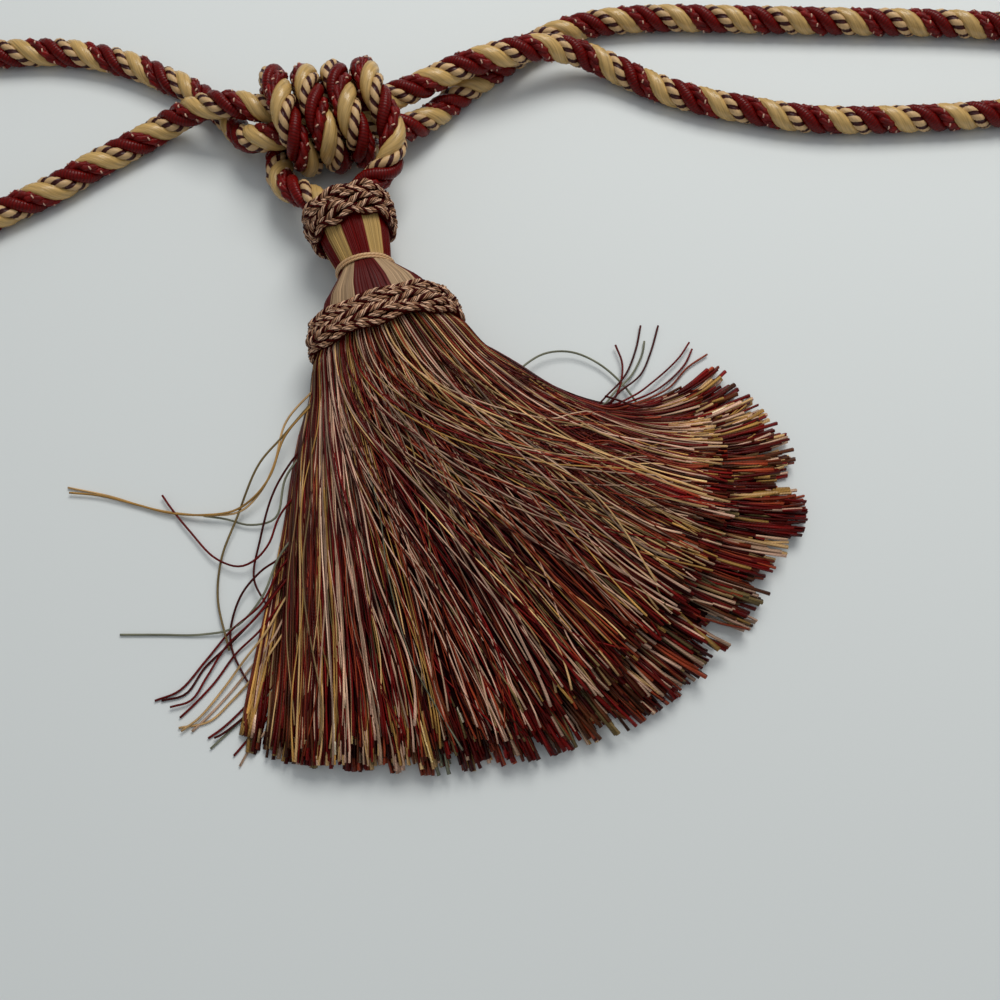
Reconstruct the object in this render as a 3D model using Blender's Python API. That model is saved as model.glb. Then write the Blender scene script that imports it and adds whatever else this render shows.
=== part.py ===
"""Curtain tieback tassel, lying on a table.

A ring of twisted rope, the embrace, is pinched in the middle. A shorter rope, the hanger, winds round
both of its strands, and its two ends go down into the tassel's head. The head is a mould covered with
striped yarn, with a braided ruff at its top, a tie at its waist and a wider ruff at its foot, and the
cut fringe of the skirt falls from under that ruff and is swept to one side.

Sizes are in millimetres and Blender's units are metres. +Z is up from the table, +Y runs from the skirt
to the knot, and the origin is on the flat underside of the skirt.
"""

import math
import random
from collections import namedtuple

import bpy
import numpy as np

MM = 0.001
GAP = 0.3  # left between pieces that touch

# Ropes
ROPE = 10.0  # diameter
TABLE_Z = ROPE / 2 + GAP  # centre of a rope that lies on the table
ROPE_SPACING = ROPE + 0.9  # between the centres of ropes that touch, before the tubes' flat sides
STEP = 2.5  # between the points of a rope while it settles

# Knot: the hanger's turns round the two strands of the embrace
KNOT = (-59.3, 137.6)
KNOT_TURN = math.radians(8)
KNOT_Z = 16.2  # centre of the two strands inside the turns
STRAND = 5.3  # from the knot's axis to each strand
TURN_RADIUS = 10.8
TURNS = 4
PITCH = 10.9
LEAN = 1.5  # how far a turn's ends are shifted along the knot, so that its front leans

# Tassel head: stations are measured along its axis from the top
AXIS_START = (-53.5, 103.0)
AXIS_HEADING = math.radians(-72)
AXIS_Z = 15.8
AXIS_FALL = 0.018
LEG_STATION = 3.6
LEG_SIDE = 7.0
HEAD_SIDES = 28

HeadSection = namedtuple("HeadSection", "station half_width half_height")
HEAD = [
    HeadSection(4.2, 10.6, 10.4),
    HeadSection(5.2, 11.4, 11.2),
    HeadSection(14.0, 11.6, 11.4),
    HeadSection(18.5, 11.0, 10.6),
    HeadSection(25.8, 9.3, 9.1),
    HeadSection(28.0, 8.7, 8.6),
    HeadSection(29.8, 9.1, 8.8),
    HeadSection(33.2, 12.0, 10.0),
    HeadSection(37.8, 16.4, 10.2),
    HeadSection(43.0, 19.0, 9.8),
    HeadSection(50.0, 20.4, 10.2),
]

# Hoops round the head: section half_length runs along the axis, thickness across it
Hoop = namedtuple("Hoop", "station half_length half_width half_height flare thickness lobes sides")
TOP_RUFF = Hoop(9.8, 7.0, 14.0, 13.8, -0.10, 1.6, 15, 30)
NECK_TIE = Hoop(28.0, 0.7, 9.9, 9.8, 0.0, 0.7, 0, 18)
SKIRT_RUFF = Hoop(50.0, 7.6, 23.9, 12.9, 0.22, 1.6, 24, 48)
HOOP_SECTION = 8
LOBE = 0.35  # height of the braid's lobes

# Skirt: a fan of fringe between its left and right edges
LOCKS = 26
LOCK_GAP = 0.24  # of a lock's width, open between the ends of two locks
ROOT_STATION = 50.6
MOUTH_STATION = 57.4
ROOT_HALF = (20.4, 10.2)
MOUTH_HALF = (23.3, 10.8)
EDGE_ANGLE = 8  # degrees up the root's oval where the fan's edges leave it
CUT_SPREAD = 2.2  # uneven cutting of the locks
EDGE_HEIGHT = 5.0
RIDGE = 0.8

FanLine = namedtuple("FanLine", "tip_x tip_y leave arrive leave_pull arrive_pull")
FAN = [
    FanLine(-88, -73, -95, -110, 0.35, 0.30),
    FanLine(-67, -84, -92, -98, 0.35, 0.30),
    FanLine(-43, -85, -88, -90, 0.35, 0.30),
    FanLine(-17, -87, -83, -78, 0.35, 0.30),
    FanLine(12, -82, -76, -62, 0.38, 0.32),
    FanLine(38, -73, -68, -46, 0.40, 0.34),
    FanLine(62, -56, -60, -30, 0.42, 0.36),
    FanLine(83, -33, -53, -14, 0.44, 0.38),
    FanLine(95, -7, -48, 2, 0.45, 0.40),
    FanLine(92, 18, -45, 16, 0.46, 0.42),
    FanLine(76, 42, -33, 28, 0.38, 0.44),
]

# Rows along the fan: share of the way from the collar's mouth to the cut ends, and the crown's height
FanRow = namedtuple("FanRow", "share crown whole")
ROWS = [
    FanRow(0.10, 26.5, True),
    FanRow(0.25, 26.0, True),
    FanRow(0.45, 24.0, True),
    FanRow(0.64, 20.5, True),
    FanRow(0.78, 18.0, True),
    FanRow(0.865, 16.0, False),
    FanRow(0.885, 9.5, False),
    FanRow(1.00, 6.0, False),
]

YARN = 1.1
YARN_CROSSINGS = {"loose_yarn_2": (-104.2, -4.8), "loose_yarn_4": (40.6, 44.0)}  # where it lies over one
LOOSE_YARNS = {
    "loose_yarn_1": [(-69.5, 19), (-77, 7), (-86, -1), (-96, -4.5), (-107, -5), (-123, -1), (-139, 4)],
    "loose_yarn_2": [(-76.5, -21), (-82, -22.5), (-89, -20), (-95, -15), (-101, -8.5), (-107, 1)],
    "loose_yarn_3": [(-83, -42), (-92, -43), (-104, -43.5), (-117, -43.5)],
    "loose_yarn_4": [(8, 50.5), (18, 53.5), (28, 53), (37, 47.5), (43, 40), (45, 35)],
    "loose_yarn_5": [(35, 34.5), (39, 41), (44.5, 53), (48, 64.5)],
    "loose_yarn_6": [(47, 36.5), (54, 43.5), (62, 50.5), (69, 54)],
}

Finish = namedtuple("Finish", "color roughness")
MAROON = Finish((0.26, 0.035, 0.035), 0.6)
GOLD = Finish((0.62, 0.42, 0.20), 0.5)
BEIGE = Finish((0.50, 0.30, 0.20), 0.6)
RUST = Finish((0.30, 0.09, 0.05), 0.6)


def clear_scene():
    for obj in list(bpy.data.objects):
        bpy.data.objects.remove(obj, do_unlink=True)


def material(name, finish):
    made = bpy.data.materials.new(name)
    made.use_nodes = True
    shader = made.node_tree.nodes["Principled BSDF"]
    shader.inputs["Base Color"].default_value = (*finish.color, 1.0)
    shader.inputs["Roughness"].default_value = finish.roughness
    shader.inputs["Metallic"].default_value = 0.0
    return made


def add_object(name, data, finish):
    """Puts the data in the scene under this name, with a material of its own."""
    data.materials.append(material(name, finish))
    obj = bpy.data.objects.new(name, data)
    bpy.context.scene.collection.objects.link(obj)
    return obj


def add_mesh(name, points, faces, finish):
    mesh = bpy.data.meshes.new(name)
    mesh.from_pydata([tuple(c * MM for c in p) for p in points], [], faces)
    mesh.validate()
    mesh.shade_smooth()
    return add_object(name, mesh, finish)


# ---- Ropes -----------------------------------------------------------------------------------------


def in_knot(along, across, height):
    """A point given along and across the knot's axis."""
    c, s = math.cos(KNOT_TURN), math.sin(KNOT_TURN)
    return (KNOT[0] + along * c - across * s, KNOT[1] + along * s + across * c, height)


def on_axis(station, side=0.0, rise=0.0):
    """A point given along the head's axis, to its side, and above it."""
    c, s = math.cos(AXIS_HEADING), math.sin(AXIS_HEADING)
    x = AXIS_START[0] + station * c - side * s
    y = AXIS_START[1] + station * s + side * c
    return (x, y, AXIS_Z - AXIS_FALL * station + rise)


def on_table(*places):
    return [(x, y, TABLE_Z) for x, y in places]


def embrace_route():
    """The ring, from its join inside the knot round the right loop, the left loop and back."""
    right_back = on_table(
        (-19, 154.5), (-7, 165), (4, 174), (12, 181), (23, 187.5), (38, 192), (57, 194), (95, 193.5),
        (134, 192.5), (172, 191.5), (205, 189), (240, 186), (270, 183), (288, 177), (295, 167),
    )
    right_front = on_table(
        (288, 156), (264, 150), (232, 150.5), (200, 150.5), (165, 147.5), (128, 146), (110, 147),
        (92, 150.5), (74, 155), (56, 162),
    )
    left_front = on_table(
        (-131, 136), (-144, 127), (-157, 117), (-173, 107), (-195, 95), (-225, 84), (-255, 80),
        (-280, 87), (-293, 105), (-296, 127),
    )
    left_back = on_table(
        (-287, 147), (-265, 162), (-235, 171), (-210, 175), (-184, 177), (-166, 177.5), (-150, 175),
        (-135, 170), (-123, 164), (-114, 159.5), (-105, 152.5),
    )
    return [
        in_knot(-1, -STRAND, KNOT_Z), in_knot(9, -STRAND, KNOT_Z), in_knot(17, -STRAND, 15),
        in_knot(24, -4.5, 11), in_knot(31, 0, 7.5),
        *right_back,
        *right_front,
        (39, 171, 6.5), (22, 173.5, 12), (7, 168.5, 16), (-9, 163, 15), (-21, 157, 14),
        in_knot(28, 9, 15), in_knot(20, 6.5, 16), in_knot(10, STRAND, KNOT_Z),
        in_knot(-3, STRAND, KNOT_Z), in_knot(-15, STRAND, KNOT_Z), in_knot(-24, 3.5, 17.2),
        (-92, 143, 16), (-101.5, 143.5, 15.6), (-110, 145, 12), (-120.5, 143, 6.5),
        *left_front,
        *left_back,
        (-97, 143.5, 6.5), in_knot(-26, -5, 11), in_knot(-18, -STRAND, 15.2),
        in_knot(-9, -STRAND, KNOT_Z), in_knot(-2.2, -STRAND, KNOT_Z),
    ]  # fmt: skip


def hanger_turns(first_degree, last_degree, every=20):
    """Points of the turns round the two strands, a flattened helix. 90 degrees is the front of a turn."""
    points = []
    start = -PITCH * (TURNS - 1) / 2
    for degree in range(first_degree, last_degree + 1, every):
        angle = math.radians(degree)
        lean = LEAN if degree >= 340 else 0.4 * LEAN
        along = start + PITCH * (degree - 450) / 360 - lean * math.cos(angle)
        flat = max(-1.0, min(1.0, 3 * math.cos(angle)))
        across = STRAND * flat + TURN_RADIUS * math.cos(angle)
        points.append(in_knot(along, across, KNOT_Z + TURN_RADIUS * math.sin(angle)))
    return points


def hanger_route():
    """From the left side of the head up, under the strands, round them, and down to the head's right."""
    return [
        on_axis(LEG_STATION, -LEG_SIDE), on_axis(1.2, -LEG_SIDE), on_axis(-3, -9),
        in_knot(-13.5, -24, 14.5), in_knot(-17.6, -16, 12),
        *hanger_turns(258, 90 + 360 * TURNS + 8),
        in_knot(19.6, -7, 25), in_knot(21.2, -14, 20), in_knot(20.8, -21, 17.2),
        in_knot(17.5, -27.5, 16.5),
        on_axis(-3.5, 8.6), on_axis(1.2, LEG_SIDE), on_axis(LEG_STATION, LEG_SIDE),
    ]  # fmt: skip


def evenly(points, spacing):
    """The same line with its points this far apart."""
    points = np.asarray(points, float)
    run = np.concatenate([[0], np.cumsum(np.linalg.norm(np.diff(points, axis=0), axis=1))])
    count = max(2, round(run[-1] / spacing))
    places = np.linspace(0, run[-1], count + 1)
    return np.stack([np.interp(places, run, points[:, k]) for k in range(3)], axis=1)


def smooth_through(points, spacing, between=24):
    """A centripetal Catmull-Rom curve through the points."""
    p = np.asarray(points, float)
    p = np.vstack([2 * p[0] - p[1], p, 2 * p[-1] - p[-2]])
    t = np.concatenate([[0], np.cumsum(np.sqrt(np.linalg.norm(np.diff(p, axis=0), axis=1)))])

    def blend(low, high, start, end, at):
        return ((end - at) * low + (at - start) * high) / (end - start)

    curve = []
    for i in range(1, len(p) - 2):
        for at in np.linspace(t[i], t[i + 1], between, endpoint=False):
            a = [blend(p[i + k - 1], p[i + k], t[i + k - 1], t[i + k], at) for k in range(3)]
            b = [blend(a[k], a[k + 1], t[i + k - 1], t[i + k + 1], at) for k in range(2)]
            curve.append(blend(b[0], b[1], t[i], t[i + 1], at))
    return evenly([*curve, p[-2]], spacing)


def may_settle(rope):
    """True for a rope's points near the knot and near the crossing on the right."""
    at_knot = np.linalg.norm(rope[:, :2] - (KNOT[0], KNOT[1] + 2.4), axis=1) < 62
    at_crossing = (abs(rope[:, 0] - 12) < 45) & (abs(rope[:, 1] - 175) < 35)
    free = at_knot | at_crossing
    free[:3] = free[-3:] = False
    return free


def settle(ropes, rounds=260, finish_rounds=40, floor=5.15):
    """Pushes the ropes apart until they only touch, and lets them bend as stiff yarn does."""
    points = np.vstack(ropes)
    ends = np.cumsum([len(rope) for rope in ropes])[:-1]
    owner = np.repeat(range(len(ropes)), [len(rope) for rope in ropes])
    order = np.concatenate([np.arange(len(rope)) for rope in ropes])
    free = np.concatenate([may_settle(rope) for rope in ropes])
    near = np.flatnonzero(np.abs(points[:, 0]) < 130)
    beside = abs(order[near][:, None] - order[near][None, :]) < math.ceil(1.75 * ROPE_SPACING / STEP)
    neighbours = beside & (owner[near][:, None] == owner[near][None, :])
    for turn in range(rounds):
        apart = points[near][:, None, :] - points[near][None, :, :]
        distance = np.sqrt((apart**2).sum(axis=2))
        distance[neighbours] = np.inf
        over = np.clip(ROPE_SPACING - distance, 0, None)
        push = (apart * (over / np.maximum(distance, 1e-6))[..., None]).sum(axis=1)
        push *= 0.9 / np.maximum((over > 0).sum(axis=1), 1)[:, None]
        moved = np.zeros_like(points)
        moved[near] = push
        points[free] += moved[free]
        stiffness = 0.25 if turn < rounds - finish_rounds else 0.08
        for rope, loose in zip(np.split(points, ends), np.split(free, ends)):
            bend = np.zeros_like(rope)
            bend[1:-1] = (rope[:-2] + rope[2:]) / 2 - rope[1:-1]
            change = np.zeros_like(rope)
            change[1:-1] = (bend[:-2] + bend[2:]) / 2 - bend[1:-1]
            rope[loose] += 0.02 * bend[loose] - stiffness * change[loose]
        points[free, 2] = np.maximum(points[free, 2], floor)
    return np.split(points, ends)


def thinned(rope, longest, widest_turn):
    """Fewer points: one where the line has run this far or turned by this many degrees."""
    kept = [0]
    run = turned = 0.0
    heading = np.diff(rope, axis=0)
    length = np.linalg.norm(heading, axis=1)
    heading /= length[:, None]
    for i in range(1, len(rope) - 1):
        run += length[i - 1]
        turned += math.degrees(math.acos(min(1.0, float(heading[i - 1] @ heading[i]))))
        if run > longest or turned > widest_turn:
            kept.append(i)
            run = turned = 0.0
    return rope[[*kept, len(rope) - 1]]


def add_tube(name, points, diameter, sides_setting, finish):
    curve = bpy.data.curves.new(name, "CURVE")
    curve.dimensions = "3D"
    curve.bevel_depth = diameter / 2 * MM
    curve.bevel_resolution = sides_setting
    curve.use_fill_caps = True
    spline = curve.splines.new("POLY")
    spline.points.add(len(points) - 1)
    for place, point in zip(spline.points, points):
        place.co = (*(float(c) * MM for c in point), 1.0)
    return add_object(name, curve, finish)


def add_ropes():
    routes = [embrace_route(), hanger_route()]
    embrace, hanger = settle([smooth_through(route, STEP) for route in routes])
    add_tube("embrace_rope", thinned(embrace, 24, 24), ROPE, 3, MAROON)
    add_tube("hanger_rope", thinned(hanger, 12, 19), ROPE, 4, GOLD)


# ---- Head and its hoops ----------------------------------------------------------------------------


def add_head():
    """The yarn-covered mould: ovals along the axis, joined side by side and closed at both ends."""
    points = []
    for section in HEAD:
        for k in range(HEAD_SIDES):
            angle = math.tau * k / HEAD_SIDES
            side = section.half_width * math.cos(angle)
            points.append(on_axis(section.station, side, section.half_height * math.sin(angle)))
    faces = [tuple(range(HEAD_SIDES))[::-1]]
    for row in range(len(HEAD) - 1):
        for k in range(HEAD_SIDES):
            a, b = row * HEAD_SIDES + k, row * HEAD_SIDES + (k + 1) % HEAD_SIDES
            faces.append((a, b, b + HEAD_SIDES, a + HEAD_SIDES))
    last = (len(HEAD) - 1) * HEAD_SIDES
    faces.append(tuple(range(last, last + HEAD_SIDES)))
    add_mesh("head", points, faces, GOLD)


def add_hoop(name, hoop, finish):
    """A band round the head with an oval section, its surface lobed like the braid's leaves."""
    points = []
    for k in range(hoop.sides):
        around = math.tau * k / hoop.sides
        for j in range(HOOP_SECTION):
            section = math.tau * j / HOOP_SECTION
            along = hoop.half_length * math.cos(section)
            lobe = LOBE * math.cos(hoop.lobes * around + section) if hoop.lobes else 0.0
            out = (hoop.thickness + min(lobe, 0)) * math.sin(section) + hoop.flare * along
            side = (hoop.half_width + out) * math.cos(around)
            points.append(on_axis(hoop.station + along, side, (hoop.half_height + out) * math.sin(around)))
    faces = []
    for k in range(hoop.sides):
        for j in range(HOOP_SECTION):
            a, b = k * HOOP_SECTION, (k + 1) % hoop.sides * HOOP_SECTION
            j2 = (j + 1) % HOOP_SECTION
            faces.append((a + j, a + j2, b + j2, b + j))
    add_mesh(name, points, faces, finish)


# ---- Skirt -----------------------------------------------------------------------------------------


def fan_line(across):
    """The fan's line at this share of the way from its left edge to its right."""
    at = across * (len(FAN) - 1)
    return FanLine(*(np.interp(at, range(len(FAN)), column) for column in zip(*FAN)))


def oval_angle(across):
    return math.radians(EDGE_ANGLE + (180 - 2 * EDGE_ANGLE) * across)


def fan_place(across, share):
    """Where the fan's line has got to, as x and y."""
    line = fan_line(across)
    start = np.array(on_axis(MOUTH_STATION, -MOUTH_HALF[0] * math.cos(oval_angle(across)))[:2])
    tip = np.array([line.tip_x, line.tip_y])
    reach = float(np.linalg.norm(tip - start))
    leave = np.array([math.cos(math.radians(line.leave)), math.sin(math.radians(line.leave))])
    arrive = np.array([math.cos(math.radians(line.arrive)), math.sin(math.radians(line.arrive))])
    first = start + line.leave_pull * reach * leave
    second = tip - line.arrive_pull * reach * arrive
    t, r = share, 1 - share
    return r**3 * start + 3 * r * r * t * first + 3 * r * t * t * second + t**3 * tip


def skirt_columns():
    """Shares across the fan, three for each lock: its left side, its middle and its right side."""
    width = 1 / LOCKS
    open_side = LOCK_GAP * width / 2
    columns = []
    for lock in range(LOCKS):
        left = lock * width + (open_side if lock else 0)
        right = (lock + 1) * width - (open_side if lock < LOCKS - 1 else 0)
        columns += [left, (left + right) / 2, right]
    return columns


def collar_row(columns, station, half):
    """The fringe's oval inside the ruff, as top and bottom points."""
    top, bottom = [], []
    for across in columns:
        angle = oval_angle(across)
        side, rise = -half[0] * math.cos(angle), half[1] * math.sin(angle)
        top.append(on_axis(station, side, rise))
        bottom.append(on_axis(station, side, -rise))
    return top, bottom


def fan_row(columns, row, cut):
    """The fan at one row, from its flat underside to its domed top."""
    top, bottom = [], []
    low = math.sin(math.radians(EDGE_ANGLE))
    for index, across in enumerate(columns):
        lock, side = divmod(index, 3)
        share = row.share if row.whole else row.share * (1 + cut[lock] * (row.share - 0.78) / 0.22)
        x, y = fan_place(across, share)
        dome = max(0.0, (math.sin(oval_angle(across)) - low) / (1 - low)) ** (1 - 0.5 * row.share)
        height = EDGE_HEIGHT + (max(row.crown, EDGE_HEIGHT) - EDGE_HEIGHT) * dome
        height += RIDGE * min(row.share / 0.45, 1) * (0.5 if side == 1 else -0.5)
        top.append((x, y, height))
        bottom.append((x, y, 0.0))
    return top, bottom


def add_skirt():
    """One comb: whole near the ruff, and parted into locks along the cut ends."""
    dice = random.Random(11)
    cut = [dice.uniform(-CUT_SPREAD, CUT_SPREAD) / 100 for _ in range(LOCKS)]
    columns = skirt_columns()
    rows = [collar_row(columns, ROOT_STATION, ROOT_HALF), collar_row(columns, MOUTH_STATION, MOUTH_HALF)]
    rows += [fan_row(columns, row, cut) for row in ROWS]
    first_open = 1 + sum(row.whole for row in ROWS)  # the last row that runs right across
    wide = len(columns)
    points = [point for top, bottom in rows for point in (*top, *bottom)]

    def top_of(row, column):
        return 2 * wide * row + column

    def solid(row, column):
        """True where the cell between this row and column and the next ones holds yarn."""
        if not (0 <= row < len(rows) - 1 and 0 <= column < wide - 1):
            return False
        return row < first_open or column % 3 != 2

    faces = []
    for row in range(len(rows) - 1):
        for column in range(wide - 1):
            if not solid(row, column):
                continue
            a, b = top_of(row, column), top_of(row, column + 1)
            c, d = top_of(row + 1, column + 1), top_of(row + 1, column)
            faces.append((a, d, c, b))
            faces.append((a + wide, b + wide, c + wide, d + wide))
            for beside, p, q in (
                (solid(row - 1, column), a, b),
                (solid(row, column + 1), b, c),
                (solid(row + 1, column), c, d),
                (solid(row, column - 1), d, a),
            ):
                if not beside:
                    faces.append((p, q, q + wide, p + wide))
    used = sorted({index for face in faces for index in face})
    renumbered = {old: new for new, old in enumerate(used)}
    faces = [tuple(renumbered[index] for index in face) for face in faces]
    add_mesh("skirt_fringe", [points[index] for index in used], faces, RUST)


def add_loose_yarns():
    """Single yarns of the fringe that have strayed from it and lie on the table."""
    for name, places in LOOSE_YARNS.items():
        route = smooth_through([(x, y, YARN / 2 + GAP) for x, y in places], YARN)
        if name in YARN_CROSSINGS:
            away = np.linalg.norm(route[:, :2] - YARN_CROSSINGS[name], axis=1)
            route[:, 2] += (YARN + 2 * GAP) * np.exp(-((away / 4) ** 2))
        add_tube(name, thinned(route, 6, 16), YARN, 2, BEIGE)


def main():
    clear_scene()
    add_ropes()
    add_head()
    add_hoop("top_ruff", TOP_RUFF, BEIGE)
    add_hoop("neck_tie", NECK_TIE, GOLD)
    add_hoop("skirt_ruff", SKIRT_RUFF, BEIGE)
    add_skirt()
    add_loose_yarns()


main()
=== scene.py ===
"""Curtain tieback tassel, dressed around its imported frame.

Two twisted ropes, a head covered with floss in stripes, two braided ruffs, a waist tie and a long cut
fringe are built yarn by yarn. Shapes are worked out in millimetres and turned into metres in the meshes.
"""

import logging
import math
from dataclasses import dataclass, field
from enum import Enum
from functools import partial

import bpy
import numpy as np
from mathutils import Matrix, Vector


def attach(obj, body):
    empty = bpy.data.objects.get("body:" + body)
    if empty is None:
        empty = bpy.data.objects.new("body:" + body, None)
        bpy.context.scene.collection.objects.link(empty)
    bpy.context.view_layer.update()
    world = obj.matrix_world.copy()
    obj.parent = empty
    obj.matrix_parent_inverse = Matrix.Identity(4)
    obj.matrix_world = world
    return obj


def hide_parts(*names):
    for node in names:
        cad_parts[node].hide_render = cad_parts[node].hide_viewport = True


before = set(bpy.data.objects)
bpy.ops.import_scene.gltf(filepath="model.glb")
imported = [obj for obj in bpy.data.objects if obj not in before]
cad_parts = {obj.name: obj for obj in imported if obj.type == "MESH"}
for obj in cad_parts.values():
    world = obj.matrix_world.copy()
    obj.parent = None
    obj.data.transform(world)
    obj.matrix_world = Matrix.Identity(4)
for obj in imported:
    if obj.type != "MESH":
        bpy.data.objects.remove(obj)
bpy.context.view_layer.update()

MM = 0.001
BODY = "root"
LAY_MAP = "lay"
DYE_AND_PAINTED_LIGHT_MAP = "dye"
LOG = logging.getLogger("tassel")

Array = np.ndarray
Object = bpy.types.Object
Socket = bpy.types.NodeSocket
Tree = bpy.types.NodeTree
Colour = tuple[float, float, float]
Pair = tuple[float, float]
Table = tuple[Pair, ...]
Colour = tuple[float, float, float]

MAROON: Colour = (0.130, 0.004, 0.003)
DEEP_MAROON: Colour = (0.054, 0.002, 0.001)
ROPE_MAROON: Colour = (0.160, 0.003, 0.002)
RUST: Colour = (0.230, 0.034, 0.012)
BROWN: Colour = (0.075, 0.020, 0.007)
BEIGE: Colour = (0.500, 0.315, 0.210)
PINK_BEIGE: Colour = (0.630, 0.385, 0.275)
RUFF_BEIGE: Colour = (0.700, 0.430, 0.285)
RUFF_TAN: Colour = (0.400, 0.210, 0.120)
BEAD: Colour = (0.520, 0.335, 0.165)
SATIN_GOLD: Colour = (0.530, 0.335, 0.115)
GOLD: Colour = (0.560, 0.345, 0.150)
OLD_GOLD: Colour = (0.380, 0.205, 0.055)
TIE_GOLD: Colour = (0.660, 0.400, 0.200)
OLIVE: Colour = (0.170, 0.115, 0.045)
GREY_GREEN: Colour = (0.190, 0.190, 0.130)
# Near-black: partly the dark yarn inside the fringe, partly painted shade for it.
BED_DYE_AND_SHADE: Colour = (0.012, 0.001, 0.001)

GOLDEN_RATIO = 0.618034
OFF_UPRIGHT = 0.013  # keeps a first normal off the line of an upright path


# ---- Vector helpers ----


def unit(vectors: Array) -> Array:
    """The same vectors at length 1."""
    return vectors / np.maximum(np.linalg.norm(vectors, axis=-1, keepdims=True), 1e-12)


def smoothstep(values: Array) -> Array:
    """An even rise from 0 to 1 as the values go from 0 to 1."""
    held = np.clip(values, 0.0, 1.0)
    return held * held * (3 - 2 * held)


def evenly(points: Array, spacing: float) -> Array:
    """Spaces a line's points evenly.

    Args:
        points: The line, as rows of x, y and z.
        spacing: The distance between its new points.

    Returns:
        The same line with its points this far apart.
    """
    points = np.asarray(points, float)
    run = np.concatenate([[0], np.cumsum(np.linalg.norm(np.diff(points, axis=0), axis=1))])
    count = max(2, round(run[-1] / spacing))
    places = np.linspace(0, run[-1], count + 1)
    return np.stack([np.interp(places, run, points[:, k]) for k in range(3)], axis=1)


def smooth_through(points: list, spacing: float, between: int = 24) -> Array:
    """Draws a centripetal Catmull-Rom curve.

    Args:
        points: The points that it goes through.
        spacing: The distance between the curve's own points.
        between: How finely each stretch is worked out first.

    Returns:
        The curve, as rows of x, y and z.
    """
    p = np.asarray(points, float)
    p = np.vstack([2 * p[0] - p[1], p, 2 * p[-1] - p[-2]])
    t = np.concatenate([[0], np.cumsum(np.sqrt(np.linalg.norm(np.diff(p, axis=0), axis=1)))])

    def blend(low: Array, high: Array, start: float, end: float, at: float) -> Array:
        """The point this far between two others."""
        return ((end - at) * low + (at - start) * high) / (end - start)

    curve = []
    for i in range(1, len(p) - 2):
        for at in np.linspace(t[i], t[i + 1], between, endpoint=False):
            a = [blend(p[i + k - 1], p[i + k], t[i + k - 1], t[i + k], at) for k in range(3)]
            b = [blend(a[k], a[k + 1], t[i + k - 1], t[i + k + 1], at) for k in range(2)]
            curve.append(blend(b[0], b[1], t[i], t[i + 1], at))
    return evenly(np.array([*curve, p[-2]]), spacing)


def dot(first: Array, second: Array) -> Array:
    """The vectors' dot products, with a last axis of 1."""
    return (first * second).sum(axis=-1, keepdims=True)


def uneven(dice: np.random.Generator, shape: object, spread: float, low: float, high: float) -> Array:
    """Random factors round 1 with this spread, held between low and high."""
    return np.clip(1 + spread * dice.standard_normal(shape), low, high)


def read_off(table: Table, at: Array) -> Array:
    """A table's values between its places."""
    return np.interp(at, *zip(*table))


def round_about(angle: Array, first: Array, second: Array) -> Array:
    """Directions at these angles from the first direction towards the second."""
    return np.cos(angle)[..., None] * first + np.sin(angle)[..., None] * second


def carried_normals(paths: Array) -> tuple[Array, Array]:
    """Carries a frame along each path without turning it about the path.

    Args:
        paths: Paths by points by x, y and z.

    Returns:
        Normals and binormals, each shaped as the paths.
    """
    tangents = unit(np.gradient(paths, axis=1))
    normals = np.empty_like(paths)
    start = np.full(paths[:, 0].shape, OFF_UPRIGHT) + (0.0, 0.0, 1.0)
    for j in range(paths.shape[1]):
        start = unit(start - dot(start, tangents[:, j]) * tangents[:, j])
        normals[:, j] = start
    return normals, np.cross(tangents, normals)


def length_along(paths: Array) -> Array:
    """How far along its path each point is."""
    steps = np.linalg.norm(np.diff(paths, axis=1), axis=2)
    return np.concatenate([np.zeros((len(paths), 1)), np.cumsum(steps, axis=1)], axis=1)


# ---- Meshes of many tubes ----


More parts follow.
